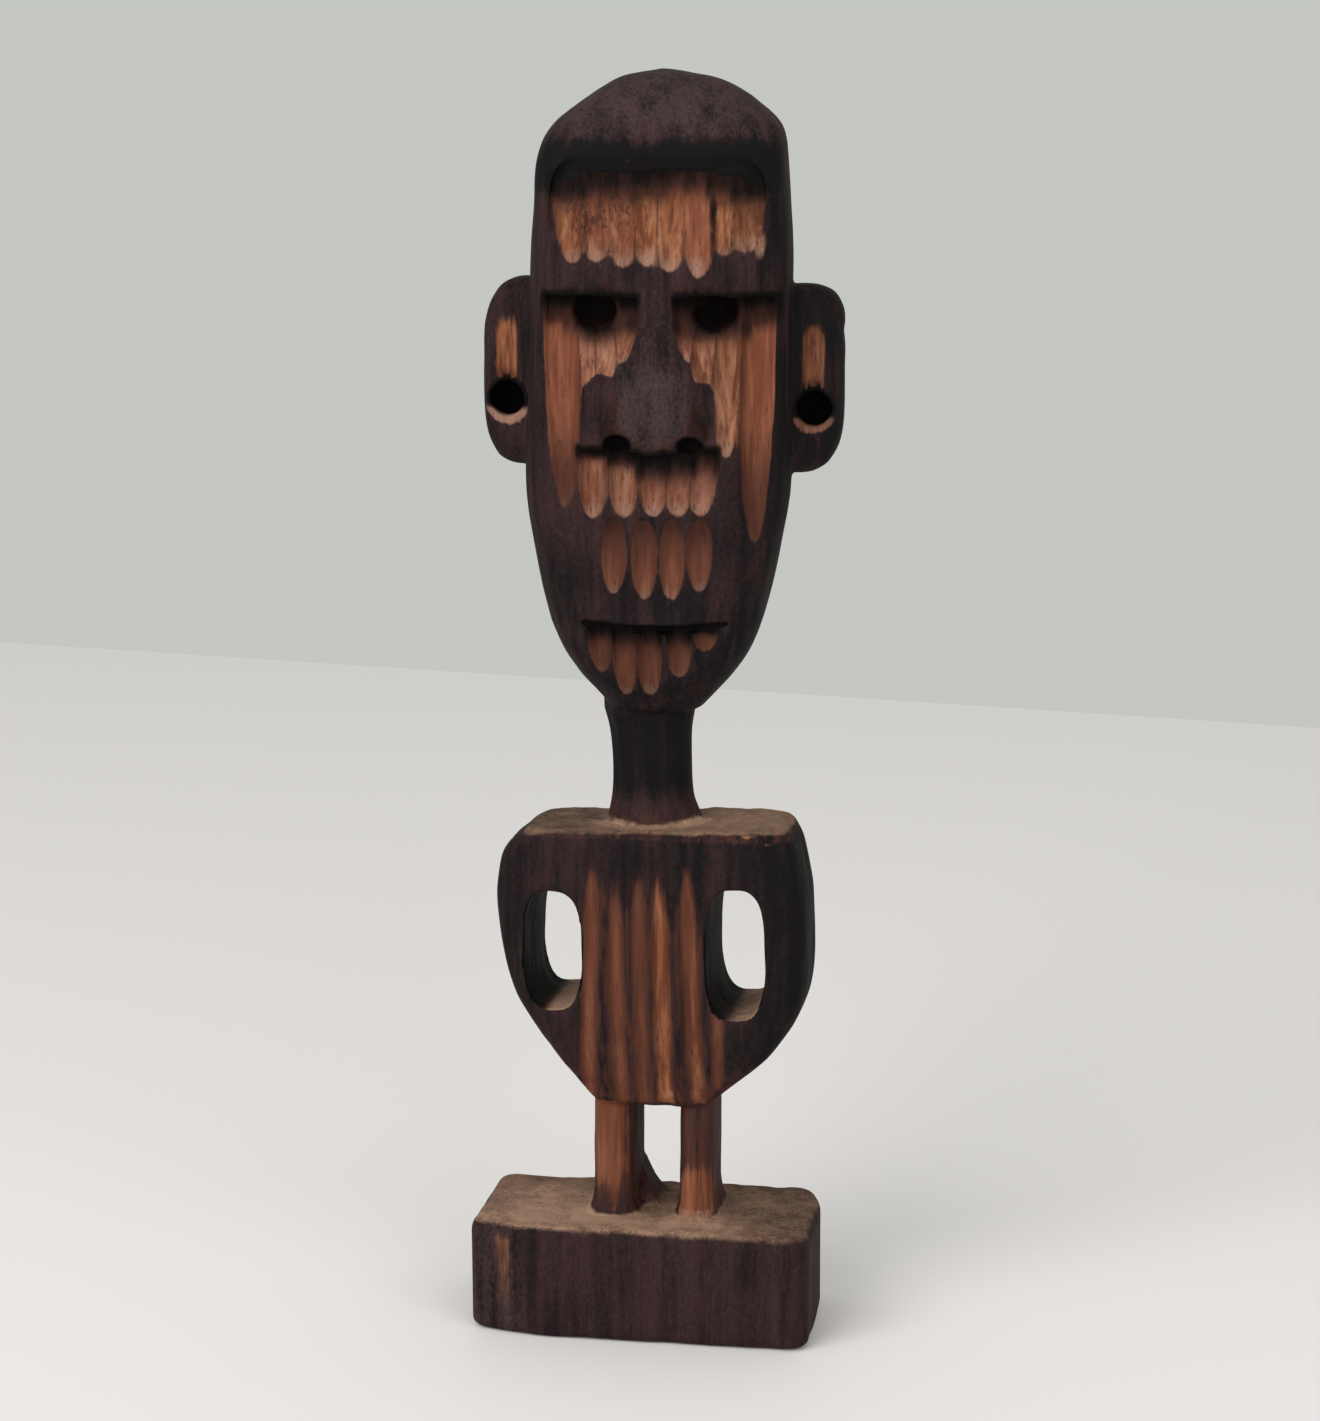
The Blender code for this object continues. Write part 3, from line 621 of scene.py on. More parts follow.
# Each row of cuts: its name, the height of its stop, its depth, its gouge's radius, and its cuts.
# Each cut: its place across at its stop and at its tip, as shares of half the head's width, the
# height of its tip as a share of the head's height, its depth as a share of the row's, how far
# below the stop its soot and painted shade reach, how clean the wood is, and how far up it is
# pale, with a painted highlight where the tip faces up.
GOUGE_ROWS = (
    (
        "forehead",
        HAIR_EDGE,
        2.9,
        3.5,
        (
            (-0.640, -0.600, 0.704, 0.85, 8.0, 0.72, 6.0),
            (-0.440, -0.420, 0.706, 1.00, 10.0, 0.78, 7.0),
            (-0.240, -0.222, 0.698, 0.95, 10.0, 0.85, 7.0),
            (-0.062, -0.050, 0.700, 1.00, 9.0, 1.00, 7.5),
            (0.118, 0.122, 0.692, 1.05, 8.0, 1.00, 7.0),
            (0.325, 0.335, 0.682, 0.95, 7.5, 0.95, 8.0),
            (0.520, 0.520, 0.716, 1.00, 8.0, 0.78, 4.5),
            (0.700, 0.660, 0.720, 0.75, 6.5, 0.55, 6.0),
        ),
    ),
    (
        "left cheek",
        BROW_EDGE,
        4.2,
        3.6,
        (
            (-0.700, -0.680, 0.330, 0.95, 7.5, 0.95, 6.0),
            (-0.545, -0.515, 0.500, 1.00, 10.5, 0.95, 5.0),
            (-0.395, -0.398, 0.512, 1.00, 11.0, 1.15, 6.0),
            (-0.258, -0.285, 0.552, 0.92, 10.0, 1.10, 6.0),
        ),
    ),
    (
        "right cheek",
        BROW_EDGE,
        4.2,
        3.6,
        (
            (0.288, 0.312, 0.553, 0.92, 11.5, 1.00, 6.0),
            (0.410, 0.414, 0.487, 1.00, 12.0, 0.90, 12.0),
            (0.560, 0.550, 0.407, 1.00, 11.5, 0.75, 12.0),
            (0.785, 0.765, 0.276, 0.95, 8.5, 0.88, 3.0),
        ),
    ),
    (
        "lip",
        LIP_TOP,
        2.7,
        3.0,
        (
            (-0.452, -0.460, 0.316, 0.95, 4.0, 0.62, 8.0),
            (-0.225, -0.222, 0.317, 0.95, 5.5, 0.68, 8.0),
            (-0.005, -0.005, 0.319, 1.00, 10.0, 0.74, 8.0),
            (0.178, 0.182, 0.319, 1.00, 10.0, 0.74, 8.0),
            (0.360, 0.352, 0.319, 1.00, 9.0, 0.74, 7.0),
        ),
    ),
    (
        "beard",
        BEARD_TOP,
        2.1,
        3.1,
        (
            (-0.290, -0.315, 0.196, 1.00, 8.0, 0.34, 4.5),
            (-0.070, -0.070, 0.189, 1.05, 7.0, 0.36, 4.5),
            (0.138, 0.133, 0.188, 1.05, 7.0, 0.42, 4.5),
            (0.350, 0.340, 0.201, 1.00, 8.0, 0.32, 4.0),
        ),
    ),
    (
        "chin",
        MOUTH_LINE,
        2.6,
        2.3,
        (
            (-0.425, -0.415, 0.070, 0.90, 7.0, 0.18, 3.0),
            (-0.225, -0.231, 0.032, 1.00, 7.5, 0.30, 4.5),
            (-0.043, -0.042, 0.033, 1.00, 7.5, 0.30, 4.5),
            (0.190, 0.188, 0.062, 0.90, 7.0, 0.24, 3.5),
            (0.390, 0.383, 0.106, 0.75, 4.0, 0.22, 2.0),
        ),
    ),
)


def gouge_stroke(x, y, z, name, stop, depth, radius, stroke):
    """One stroke: its distance, how far along it a place is (0 at the tip, 1 at the stop), how far
    to one side of it, and half its width there."""
    at_stop, at_tip, tip_share, depth_share = stroke[:4]
    tip = tip_share * HEAD_HEIGHT
    t = (z - tip) / (stop - tip)
    along = np.clip(t, -0.15, 1.0)
    middle = (at_tip + (at_stop - at_tip) * along) * HEAD_HALF_WIDTH
    deep = depth * depth_share * np.sin(along * math.pi / 2)
    if name == "beard":
        pointed = np.clip((t - BEARD_POINT_START) / (1.0 - BEARD_POINT_START), 0.0, 1.0)
        deep = deep * (1.0 - BEARD_POINT_RISE * pointed**1.2)
    centre = face_at(middle, z) + deep - radius
    away = np.sqrt((x - middle) ** 2 + (y - centre) ** 2) - radius
    half = np.sqrt(np.maximum(2.0 * radius * deep - deep * deep, 0.2))
    return within_both(away, z - stop, STOP_ROUNDING), t, x - middle, half


# The panel that the forehead's cuts share, which rolls back out under the hair
PANEL_MIDDLE = 0.55
PANEL_HALF_WIDTH = 20.4
PANEL_FOOT = 84.0
PANEL_START = 86.0
PANEL_DEPTH = 2.7
PANEL_SQUARENESS = 3.2

panel_top = HAIR_EDGE + HAIR_COVE
part, x, y, z = head_window((-22, -20, PANEL_FOOT - 2), (23, -6, panel_top + 2))
rise = np.clip((z - PANEL_START) / (HAIR_EDGE - PANEL_START), -0.2, 1.0)
cove = np.clip((z - HAIR_EDGE) / HAIR_COVE, 0.0, 1.0)
deep = PANEL_DEPTH * np.sin(rise * math.pi / 2) * (1.0 - cove * cove * (3.0 - 2.0 * cove)) - 0.25
panel = (y - face_at(x, z) - deep) * 0.8
rim = level_section(
    x - PANEL_MIDDLE,
    z - (PANEL_FOOT + panel_top) / 2,
    PANEL_HALF_WIDTH,
    PANEL_HALF_WIDTH,
    (panel_top - PANEL_FOOT) / 2,
    (panel_top - PANEL_FOOT) / 2,
    PANEL_SQUARENESS,
)
cut_wood(part, within_both(panel, rim, 1.2), 0.8)

strokes = []
random = np.random.default_rng(23)
for name, stop, depth, radius, row in GOUGE_ROWS:
    for stroke in row:
        across = stroke[0] * HEAD_HALF_WIDTH
        own_stop = stop + random.uniform(-STOP_UNEVENNESS, STOP_UNEVENNESS)
        if name == "forehead":
            outer = np.clip((abs(stroke[0]) - CORNER_DROP_START) / CORNER_DROP_RUN, 0.0, 1.0)
            own_stop -= CORNER_DROP * outer**1.5
        if name == "chin":
            own_stop = stop - MOUTH_SAG * (1.0 - (across / MOUTH_HALF_WIDTH) ** 2)
        if name == "lip":
            own_stop = stop - LIP_DROP * max(0.0, 1.0 - (across / LIP_DROP_HALF_WIDTH) ** 2)
        strokes.append((name, own_stop, depth, radius, stroke))
for name, stop, depth, radius, stroke in strokes:
    middle = stroke[0] * HEAD_HALF_WIDTH
    tip = stroke[2] * HEAD_HEIGHT
    front = float(face_at(np.array(middle), (tip + stop) / 2))
    part, x, y, z = head_window(
        (middle - radius - 2, front - 3, tip - 4),
        (middle + radius + 2, front + depth + 5, stop + 2),
    )
    cut = gouge_stroke(x, y, z, name, stop, depth, radius, stroke)[0]
    cut_wood(part, cut + 0.07 * blade_swells[part], 0.3)


# The eye pits, the nostrils and the mouth, drilled and cut in with the point of the blade. The
# pits are set back from the face by their own depth, under the brow.
EYE_PITS = ((-11.58, 78.5), (11.37, 78.5))
EYE_PIT_REACH = (4.1, 4.6, 3.3)
EYE_PIT_RIM_ROUNDING = 1.8
NOSTRILS = ((-7.1, 53.2), (6.8, 52.9))
NOSTRIL_REACH = (2.4, 3.6, 2.0)
NOSTRIL_RIM_ROUNDING = 0.5
MOUTH_HALF_OPENING = 0.8
MOUTH_DEPTH = 3.0

for spots, reach, setback, rounding in (
    (EYE_PITS, EYE_PIT_REACH, EYE_PIT_REACH[1], EYE_PIT_RIM_ROUNDING),
    (NOSTRILS, NOSTRIL_REACH, 0.0, NOSTRIL_RIM_ROUNDING),
):
    for across, height in spots:
        front = float(face_at(np.array(across), height)) + setback
        part, x, y, z = head_window(
            (across - 7, front - 7, height - 6),
            (across + 7, front + 7, height + 6),
        )
        pit = ball(x - across, y - front, z - height, reach)
        cut_wood(part, pit + 0.3 * blade_swells[part], rounding)

part, x, y, z = head_window((-16, -18, MOUTH_LINE - 5), (16, -6, MOUTH_LINE + 4))
bend = np.clip(1.0 - (x / MOUTH_HALF_WIDTH) ** 2, 0.0, 1.0)
slit = np.abs(z - MOUTH_LINE + MOUTH_SAG * bend) - MOUTH_HALF_OPENING * (0.4 + 0.6 * bend)
slit = np.maximum(slit, y - face_at(x, MOUTH_LINE) - MOUTH_DEPTH * (0.3 + 0.7 * bend))
cut_wood(part, np.maximum(slit, np.abs(x) - MOUTH_HALF_WIDTH), 0.3)


# The hollow in the front of each ear, a short gouge cut that ends above a blind drilled hole, the
# lobe.
EAR_HOLLOW_PLACE = 0.42
EAR_GROOVE_RADIUS = 2.6
EAR_GROOVE_DEPTH = 1.6
EAR_GROOVE_ENDS = (14.0, 31.0)
EAR_HOLE_RADIUS = 3.3
EAR_HOLE_DEPTH = 9.0

for sign, reach, foot, hole, _ in EARS:
    middle = sign * (HEAD_HALF_WIDTH + EAR_HOLLOW_PLACE * reach)
    front = EAR_SETBACK - EAR_HALF_DEPTH
    part, x, y, z = head_window(
        (middle - 6, front - 3, foot + 5),
        (middle + 6, front + 13, foot + 36),
    )
    share = (z - foot - EAR_GROOVE_ENDS[0]) / (EAR_GROOVE_ENDS[1] - EAR_GROOVE_ENDS[0])
    deep = EAR_GROOVE_DEPTH * np.clip(1.0 - share**3, 0.0, 1.0)
    groove = np.hypot(x - middle, y - front - deep + EAR_GROOVE_RADIUS) - EAR_GROOVE_RADIUS
    groove = np.maximum(groove, foot + EAR_GROOVE_ENDS[0] - z)
    cut_wood(part, groove, 0.4)
    lobe = np.hypot(x - middle, z - foot - hole) - EAR_HOLE_RADIUS
    lobe = within_both(lobe, y - front - EAR_HOLE_DEPTH, 1.0)
    cut_wood(part, lobe, 0.6)


# The long flutes down the front of the trunk, cut side by side with a smaller gouge from the chest
# to the hips, so that narrow ridges stand between them.
FLUTE_RADIUS = 2.7
FLUTE_DEPTH = 1.6
FLUTE_LEAD_IN = 0.32
FLUTE_LEAD_START = -0.01
# Each row: place across at the top and the foot, as shares of half the trunk's width, both ends as
# shares of its height, and its depth as a share of the deepest
FLUTES = (
    (-0.33, -0.39, 0.95, 0.00, 0.85),
    (-0.20, -0.17, 0.90, 0.00, 0.85),
    (-0.05, -0.03, 0.90, 0.00, 0.75),
    (0.08, 0.11, 0.90, 0.00, 1.00),
    (0.25, 0.32, 0.95, 0.00, 0.90),
    (0.46, 0.44, 0.50, 0.08, 0.50),
)


def trunk_front(x, share):
    reach = reach_at(trunk_table, np.clip(share, 0, 1), TRUNK_HALF_WIDTH, TRUNK_HALF_DEPTH)
    return front_of(reach, x)


def flute_stroke(x, y, z, row):
    """One flute: its distance, how far down it a place is, how far to one side of it, and half its
    width there."""
    top_across, foot_across, top_share, foot_share, depth_share = row
    share = (z - HIP) / TRUNK_HEIGHT
    t = (share - top_share) / (foot_share - top_share)
    along = np.clip(t, 0.0, 1.0)
    middle = (top_across + (foot_across - top_across) * along) * TRUNK_HALF_WIDTH
    deep = FLUTE_DEPTH * depth_share * np.clip((t - FLUTE_LEAD_START) / FLUTE_LEAD_IN, -1.0, 1.0)
    deep = deep * np.clip(1.0 - (t - 0.9) * 8.0, 0.0, 1.0) if foot_share > 0 else deep
    centre = trunk_front(middle, share) + deep - FLUTE_RADIUS
    away = np.sqrt((x - BODY_SHIFT - middle) ** 2 + (y - centre) ** 2) - FLUTE_RADIUS
    half = np.sqrt(np.maximum(2.0 * FLUTE_RADIUS * deep - deep * deep, 0.2))
    return away, t, x - BODY_SHIFT - middle, half


for row in FLUTES:
    across = BODY_SHIFT + min(row[0], row[1]) * TRUNK_HALF_WIDTH
    end = BODY_SHIFT + max(row[0], row[1]) * TRUNK_HALF_WIDTH
    part, x, y, z = window((across - 4, -16, HIP - 2), (end + 4, -3, SHOULDER))
    cut = flute_stroke(x, y, z, row)[0]
    cut_wood(part, cut + 0.05 * blade_swells[part], 0.35)


# The skin of the wood: one closed surface drawn through the cells where the wood ends, kept inside
# the solid's box and thinned to fewer faces.
MOST_TRIANGLES = 185000


def surface_net(field):
    """Points and four-sided faces of the surface where a field of cells passes zero."""
    inside = field < 0
    counts = np.array(field.shape)
    total = np.zeros((*(counts - 1), 3), np.float32)
    crossings = np.zeros(counts - 1, np.int16)
    quads = []
    edges = []
    for axis in range(3):
        low = [slice(None)] * 3
        high = [slice(None)] * 3
        low[axis] = slice(None, -1)
        high[axis] = slice(1, None)
        a = field[tuple(low)]
        b = field[tuple(high)]
        crossed = np.argwhere(inside[tuple(low)] != inside[tuple(high)])
        at = tuple(crossed.T)
        place = crossed.astype(np.float32)
        place[:, axis] += a[at] / (a[at] - b[at])
        others = [i for i in range(3) if i != axis]
        for step_0 in (0, -1):
            for step_1 in (0, -1):
                cell = crossed.copy()
                cell[:, others[0]] += step_0
                cell[:, others[1]] += step_1
                np.add.at(total, tuple(cell.T), place)
                np.add.at(crossings, tuple(cell.T), 1)
        edges.append((crossed, others, inside[tuple(low)][at]))
    used = crossings > 0
    number = np.full(used.shape, -1, np.int64)
    number[used] = np.arange(used.sum())
    points = total[used] / crossings[used][:, None]
    for axis, (crossed, others, from_inside) in enumerate(edges):
        around = []
        for step_0, step_1 in ((0, 0), (-1, 0), (-1, -1), (0, -1)):
            cell = crossed.copy()
            cell[:, others[0]] += step_0
            cell[:, others[1]] += step_1
            around.append(number[tuple(cell.T)])
        faces = np.stack(around, axis=1)
        turned = from_inside if axis == 1 else ~from_inside
        faces[turned] = faces[turned][:, ::-1]
        quads.append(faces)
    return points, np.concatenate(quads)


for axis, across in enumerate(np.ix_(*places)):
    beyond = np.maximum(solid_low[axis] - across, across - solid_high[axis])
    wood = np.maximum(wood, beyond.astype(np.float32))
points, faces = surface_net(wood)
points = (points * CELL + cells_low) / 1000.0
figure_mesh = bpy.data.meshes.new("carved_figure")
figure_mesh.vertices.add(len(points))
figure_mesh.vertices.foreach_set("co", points.ravel())
figure_mesh.loops.add(faces.size)
figure_mesh.loops.foreach_set("vertex_index", faces.ravel())
figure_mesh.polygons.add(len(faces))
figure_mesh.polygons.foreach_set("loop_start", np.arange(0, faces.size, 4))
figure_mesh.update(calc_edges=True)
figure = bpy.data.objects.new("carved_figure", figure_mesh)
scene.collection.objects.link(figure)
thinned = figure.modifiers.new("fewer faces", "DECIMATE")
thinned.ratio = min(1.0, MOST_TRIANGLES / (2 * len(faces)))


# Marks that the finish follows, one number for each point of the skin: where the blade has laid
# the wood bare, where soot and painted shade lie, where light is painted, and where hands and
# time have rubbed it.
FAR_ARM_CHAR = 0.60
NEAR_ARM_CHAR = 0.35
CHEST_CHAR = 0.42
RIDGE_CHAR = 0.62
NECK_CHAR = 0.68
CHIN_CHAR = 0.35
FAR_CHEEK_CHAR = 0.45
SKIN_DUSTINESS = 0.35
HAIR_DUSTINESS = 0.65
FACE_DUSTINESS = 0.20
NOSE_DUST_AND_HIGHLIGHT = 0.34
TRUNK_DUSTINESS = 0.05
# How much soot and painted shade a cut holds that reaches as far as the cut's own row says, and
# at its stop only
BROW_SOOT_AND_SHADE = 0.74
STOP_SOOT_AND_SHADE = 0.26
SOOT_AND_SHADE_STRENGTH = {"forehead": 0.90, "beard": 0.58}
CORNER_SOOT_AND_SHADE = 0.72
CRACK_SOOT = 0.75
NOSE_EDGE_SHADE = 0.68
EYE_SOOT_AND_SHADE_REACH = (5.0, 4.2)
NOSTRIL_SOOT_AND_SHADE_REACH = (2.7, 2.4)
# How clean each flute is, how red, and the least half width that shows fresh wood
FLUTE_LIGHT = (0.46, 0.42, 0.30, 0.92, 0.52, 0.26)
FLUTE_RED = (0.95, 0.90, 0.90, 0.25, 0.50, 0.80)
FLUTE_LEAST_HALF = 1.7
EAR_LIGHT = (0.90, 0.46)
LEFT_LEG_LIGHT = 0.58
RIGHT_LEG_LIGHT = 0.87
SILL_SCRAPE = 0.75
LEFT_SILL_LIGHT = 1.05
RIGHT_SILL_LIGHT = 0.75
# Each row: a rubbed place, how far it reaches, how bare it is, and how light
RUBBED_PLACES = (
    ((-26.8, -15.9, 16.5), (3.0, 3.0, 6.5), 0.80, 0.38),
    ((-19.0, -17.0, 7.0), (3.6, 2.0, 3.6), 0.66, 0.30),
    ((-25.5, -15.9, 8.0), (4.5, 3.0, 8.0), 0.45, 0.12),
    ((24.0, -13.0, 217.0), (1.6, 3.0, 4.5), 0.55, 0.70),
    ((22.5, -12.6, 103.2), (2.8, 2.0, 0.9), 0.95, 0.60),
    ((26.0, -12.3, 101.6), (1.8, 2.0, 0.8), 0.85, 0.50),
    ((6.1, -9.0, 49.6), (0.8, 3.0, 0.7), 1.00, 0.80),
)


def plain_copy(piece):
    """Works out the piece's modifiers and keeps the result as its own plain mesh."""
    graph = bpy.context.evaluated_depsgraph_get()
    finished = bpy.data.meshes.new_from_object(piece.evaluated_get(graph))
    piece.modifiers.clear()
    old = piece.data
    piece.data = finished
    bpy.data.meshes.remove(old)
    finished.name = piece.name


def sampled(field, spots):
    """A field of cells read at places between them."""
    at = (spots - cells_low) / CELL
    low = np.clip(np.floor(at).astype(int), 0, np.array(field.shape) - 2)
    share = np.clip(at - low, 0.0, 1.0)
    value = np.zeros(len(spots))
    for i in (0, 1):
        for j in (0, 1):
            for k in (0, 1):
                weight = (
                    (share[:, 0] if i else 1 - share[:, 0])
                    * (share[:, 1] if j else 1 - share[:, 1])
                    * (share[:, 2] if k else 1 - share[:, 2])
                )
                value += weight * field[low[:, 0] + i, low[:, 1] + j, low[:, 2] + k]
    return value


def step_up(value, low, high):
    """0 before low, 1 past high, smooth between them."""
    t = np.clip((value - low) / (high - low), 0.0, 1.0)
    return t * t * (3.0 - 2.0 * t)


def near_to(value, middle, reach):
    """1 at a place, fading smoothly to 0 at a distance."""
    return 1.0 - step_up(np.abs(value - middle), 0.35 * reach, reach)


plain_copy(figure)
figure_mesh = figure.data
count = len(figure_mesh.vertices)
skin = np.empty(count * 3)
figure_mesh.vertices.foreach_get("co", skin)
skin = skin.reshape(-1, 3) * 1000.0
wx, wy, wz = skin.T
hx, hy, hz = from_head(wx, wy, wz)
on_head = wz > CHIN - 1.0
on_face = on_head & (hy < 0)
depth_cut = -sampled(uncut_wood, skin)
facing_up = sampled(np.gradient(uncut_wood, CELL, axis=2), skin)
random = np.random.default_rng(11)

# How black the char is, with painted shade in the cove under the hair, how much brown shows
# through it, and where it is dusty grey
char_and_shade = FAR_ARM_CHAR * step_up(wx, 16.0, 27.0) * step_up(wz, HIP, HIP + 10)
char_and_shade = char_and_shade * (1 - step_up(wz, 103.0, 106.0))
on_neck = step_up(wz, SHOULDER + 3.0, SHOULDER + 9.0) * (1.0 - step_up(wz, CHIN - 3.0, CHIN + 5.0))
far_side = np.maximum(step_up(hx, 17.0, 23.0), 0.35 * step_up(-hx, 17.0, 23.0))
char_and_shade = np.where(on_head, FAR_CHEEK_CHAR * far_side * (1 - step_up(hz, 95, 105)), char_and_shade)
char_and_shade = np.where(on_head, np.maximum(char_and_shade, CHIN_CHAR * (1 - step_up(hz, 18.0, 45.0))), char_and_shade)
char_and_shade = np.maximum(char_and_shade, NECK_CHAR * on_neck)
near_arm = (1.0 - step_up(wx, -27.0, -18.0)) * (wz > HIP) * (wz < SHOULDER)
char_and_shade = np.maximum(char_and_shade, NEAR_ARM_CHAR * near_arm)
# Char and painted shade in the cove under the hair
cove_char_and_shade = near_to(hz, 105.5, 6.5) * step_up(-hy, 5.0, 13.0) * on_head
char_and_shade = np.maximum(char_and_shade, cove_char_and_shade)
on_chest = near_to(wx, 2.0, 19.0) * (wy < 0) * (wz > HIP) * (wz < SHOULDER)
char_and_shade = np.maximum(char_and_shade, CHEST_CHAR * on_chest * step_up(wz, 86.0, 97.0))
warm = (1.0 - step_up(wz, 50.0, 60.0)) * step_up(wz, BASE_TOP, BASE_TOP + 1.0)
warm = np.maximum(warm, 0.75 * on_chest * (1.0 - step_up(wz, 86.0, 99.0)))
warm = warm * (wz < SHOULDER)
neck_foot = (1.0 - step_up(wz, SHOULDER, SHOULDER + 6.0)) * (wz > SHOULDER - 2.0) * ~on_head
warm = np.maximum(warm, 0.75 * neck_foot)
dusty_and_lit = SKIN_DUSTINESS + HAIR_DUSTINESS * on_head * step_up(hz, 105.0, 118.0)
mid_face = on_face * near_to(hx, 0.0, 15.0) * near_to(hz, 62.0, 26.0)
dusty_and_lit = dusty_and_lit + FACE_DUSTINESS * mid_face
dusty_and_lit = np.where((wz > HIP) & (wz < SHOULDER - 1.5), TRUNK_DUSTINESS, dusty_and_lit)
dusty_and_lit = dusty_and_lit + SKIN_DUSTINESS * (1.0 - step_up(wx, -27.0, -19.0)) * (wy < 0) * (wz < BASE_TOP)

# The gouge cuts of the face
fresh = np.zeros(count)
soot_and_shade = np.zeros(count)
pale_and_lit = np.zeros(count)
bright = np.ones(count)
tone = np.zeros(count)
nearest = np.full(count, 9.0)
second = np.full(count, 9.0)
for name, stop, depth, radius, stroke in strokes:
    middle = stroke[0] * HEAD_HALF_WIDTH
    tip = stroke[2] * HEAD_HEIGHT
    near = (np.abs(hx - middle) < radius + 2) & (hz > tip - 4) & (hz < stop + 3) & (hy < 0)
    spots = np.flatnonzero(near)
    cut, t, aside, half = gouge_stroke(
        hx[spots], hy[spots], hz[spots], name, stop, depth, radius, stroke
    )
    clear, clean, pale_reach = stroke[4:]
    above_tip = hz[spots] - tip
    below = stop - hz[spots]
    in_cut = step_up(half - np.abs(aside), -0.9, 0.9) * step_up(above_tip, -0.6, 1.6)
    in_cut *= step_up(below, -0.9, 0.3) * step_up(depth_cut[spots], -0.05, 0.15)
    # Soot and painted shade below the overhang at each cut's stop
    if "cheek" in name:
        shade = BROW_SOOT_AND_SHADE * (1.0 - step_up(below, 0.5 * clear, clear))
        shade += STOP_SOOT_AND_SHADE * (1.0 - step_up(below, 0.3, 3.5))
    else:
        shade = 1.0 - step_up(below, 0.0, clear)
    shade *= 1.0 - step_up(-below, 0.4, 2.2)
    shade *= SOOT_AND_SHADE_STRENGTH.get(name, 1.0)
    shade *= 1.0 - step_up(np.abs(aside) - half, 0.0, 1.6)
    soot_and_shade[spots] = np.maximum(soot_and_shade[spots], shade)
    gap = np.abs(cut)
    closer = gap < nearest[spots]
    second[spots] = np.where(closer, nearest[spots], np.minimum(second[spots], gap))
    nearest[spots] = np.where(closer, gap, nearest[spots])
    fresh[spots] = np.maximum(fresh[spots], in_cut)
    spots, t, above_tip = spots[closer], t[closer], above_tip[closer]
    # Paler wood at each cut's tip, with a painted highlight where the tip faces up
    pale_and_lit[spots] = 1.0 - step_up(above_tip, 0.0, pale_reach)
    if name in ("left cheek", "right cheek", "lip") and abs(stroke[0]) < 0.6:
        pale_and_lit[spots] = np.maximum(pale_and_lit[spots], 0.50)
    # Painted shade towards each cut's sides
    at_side = np.abs(aside[closer]) / half[closer]
    bright[spots] = clean * (1.05 - 0.55 * step_up(at_side, 0.45, 1.05))
    if "cheek" in name and stroke[2] < 0.35:
        bright[spots] *= 1.0 - 0.85 * step_up(0.62 - t, 0.0, 0.5)
    # Painted shade in the beard's cuts towards their stops under the lip
    if name == "beard":
        bright[spots] *= 1.15 - 0.80 * step_up(t, 0.25, 1.0)
    tone[spots] = random.uniform(0.0, 1.0) if name not in ("beard", "chin") else 0.9
ridge = (1.0 - step_up(second - nearest, 0.05, 0.45)) * step_up(fresh, 0.1, 0.5)
on_forehead = on_face & (hz > 82.0) & (hz < HAIR_EDGE + 1.0) & (np.abs(hx) < 21.0)
# Soot and painted shade in the forehead panel's top corners, under the hair
corner = step_up(hz, 90.0, HAIR_EDGE) * step_up(np.abs(hx - PANEL_MIDDLE), 12.5, 19.0)
soot_and_shade = np.where(on_forehead, np.maximum(soot_and_shade, CORNER_SOOT_AND_SHADE * corner), soot_and_shade)
specked = on_forehead * near_to(hx, -11.0, 11.0) * near_to(hz, 97.5, 8.0)
crack = on_forehead * near_to(hx, 11.1, 0.9) * step_up(hz, 86.0, 90.0)
soot_and_shade = np.maximum(soot_and_shade, CRACK_SOOT * crack)

# The flutes of the chest
for row, clean, red in zip(FLUTES, FLUTE_LIGHT, FLUTE_RED):
    spots = np.flatnonzero((wy < 0) & (wz > HIP - 1) & (wz < SHOULDER - 2))
    cut, t, aside, half = flute_stroke(wx[spots], wy[spots], wz[spots], row)
    light = step_up(t, -0.03, 0.24) * (1.0 - step_up(t, 0.93, 1.05))
    light *= step_up(np.maximum(half, FLUTE_LEAST_HALF) - np.abs(aside), -0.1, 1.5)
    light *= 1.0 - step_up(cut, 0.3, 0.6)
    midst = 1.0 - step_up(np.abs(aside), 0.15, 0.75 * half)
    more = light > fresh[spots]
    fresh[spots] = np.maximum(fresh[spots], light)
    # Painted shade towards each flute's sides
    bright[spots[more]] = (clean * (0.30 + 0.85 * midst) * step_up(t, -0.15, 0.35))[more]
    tone[spots[more]] = red
between = on_chest * (1.0 - step_up(wz, 88.0, 98.0))
between = between * step_up(-depth_cut, -0.35, 0.0) * (depth_cut < 0.6)
char_and_shade = np.maximum(char_and_shade, RIDGE_CHAR * between)
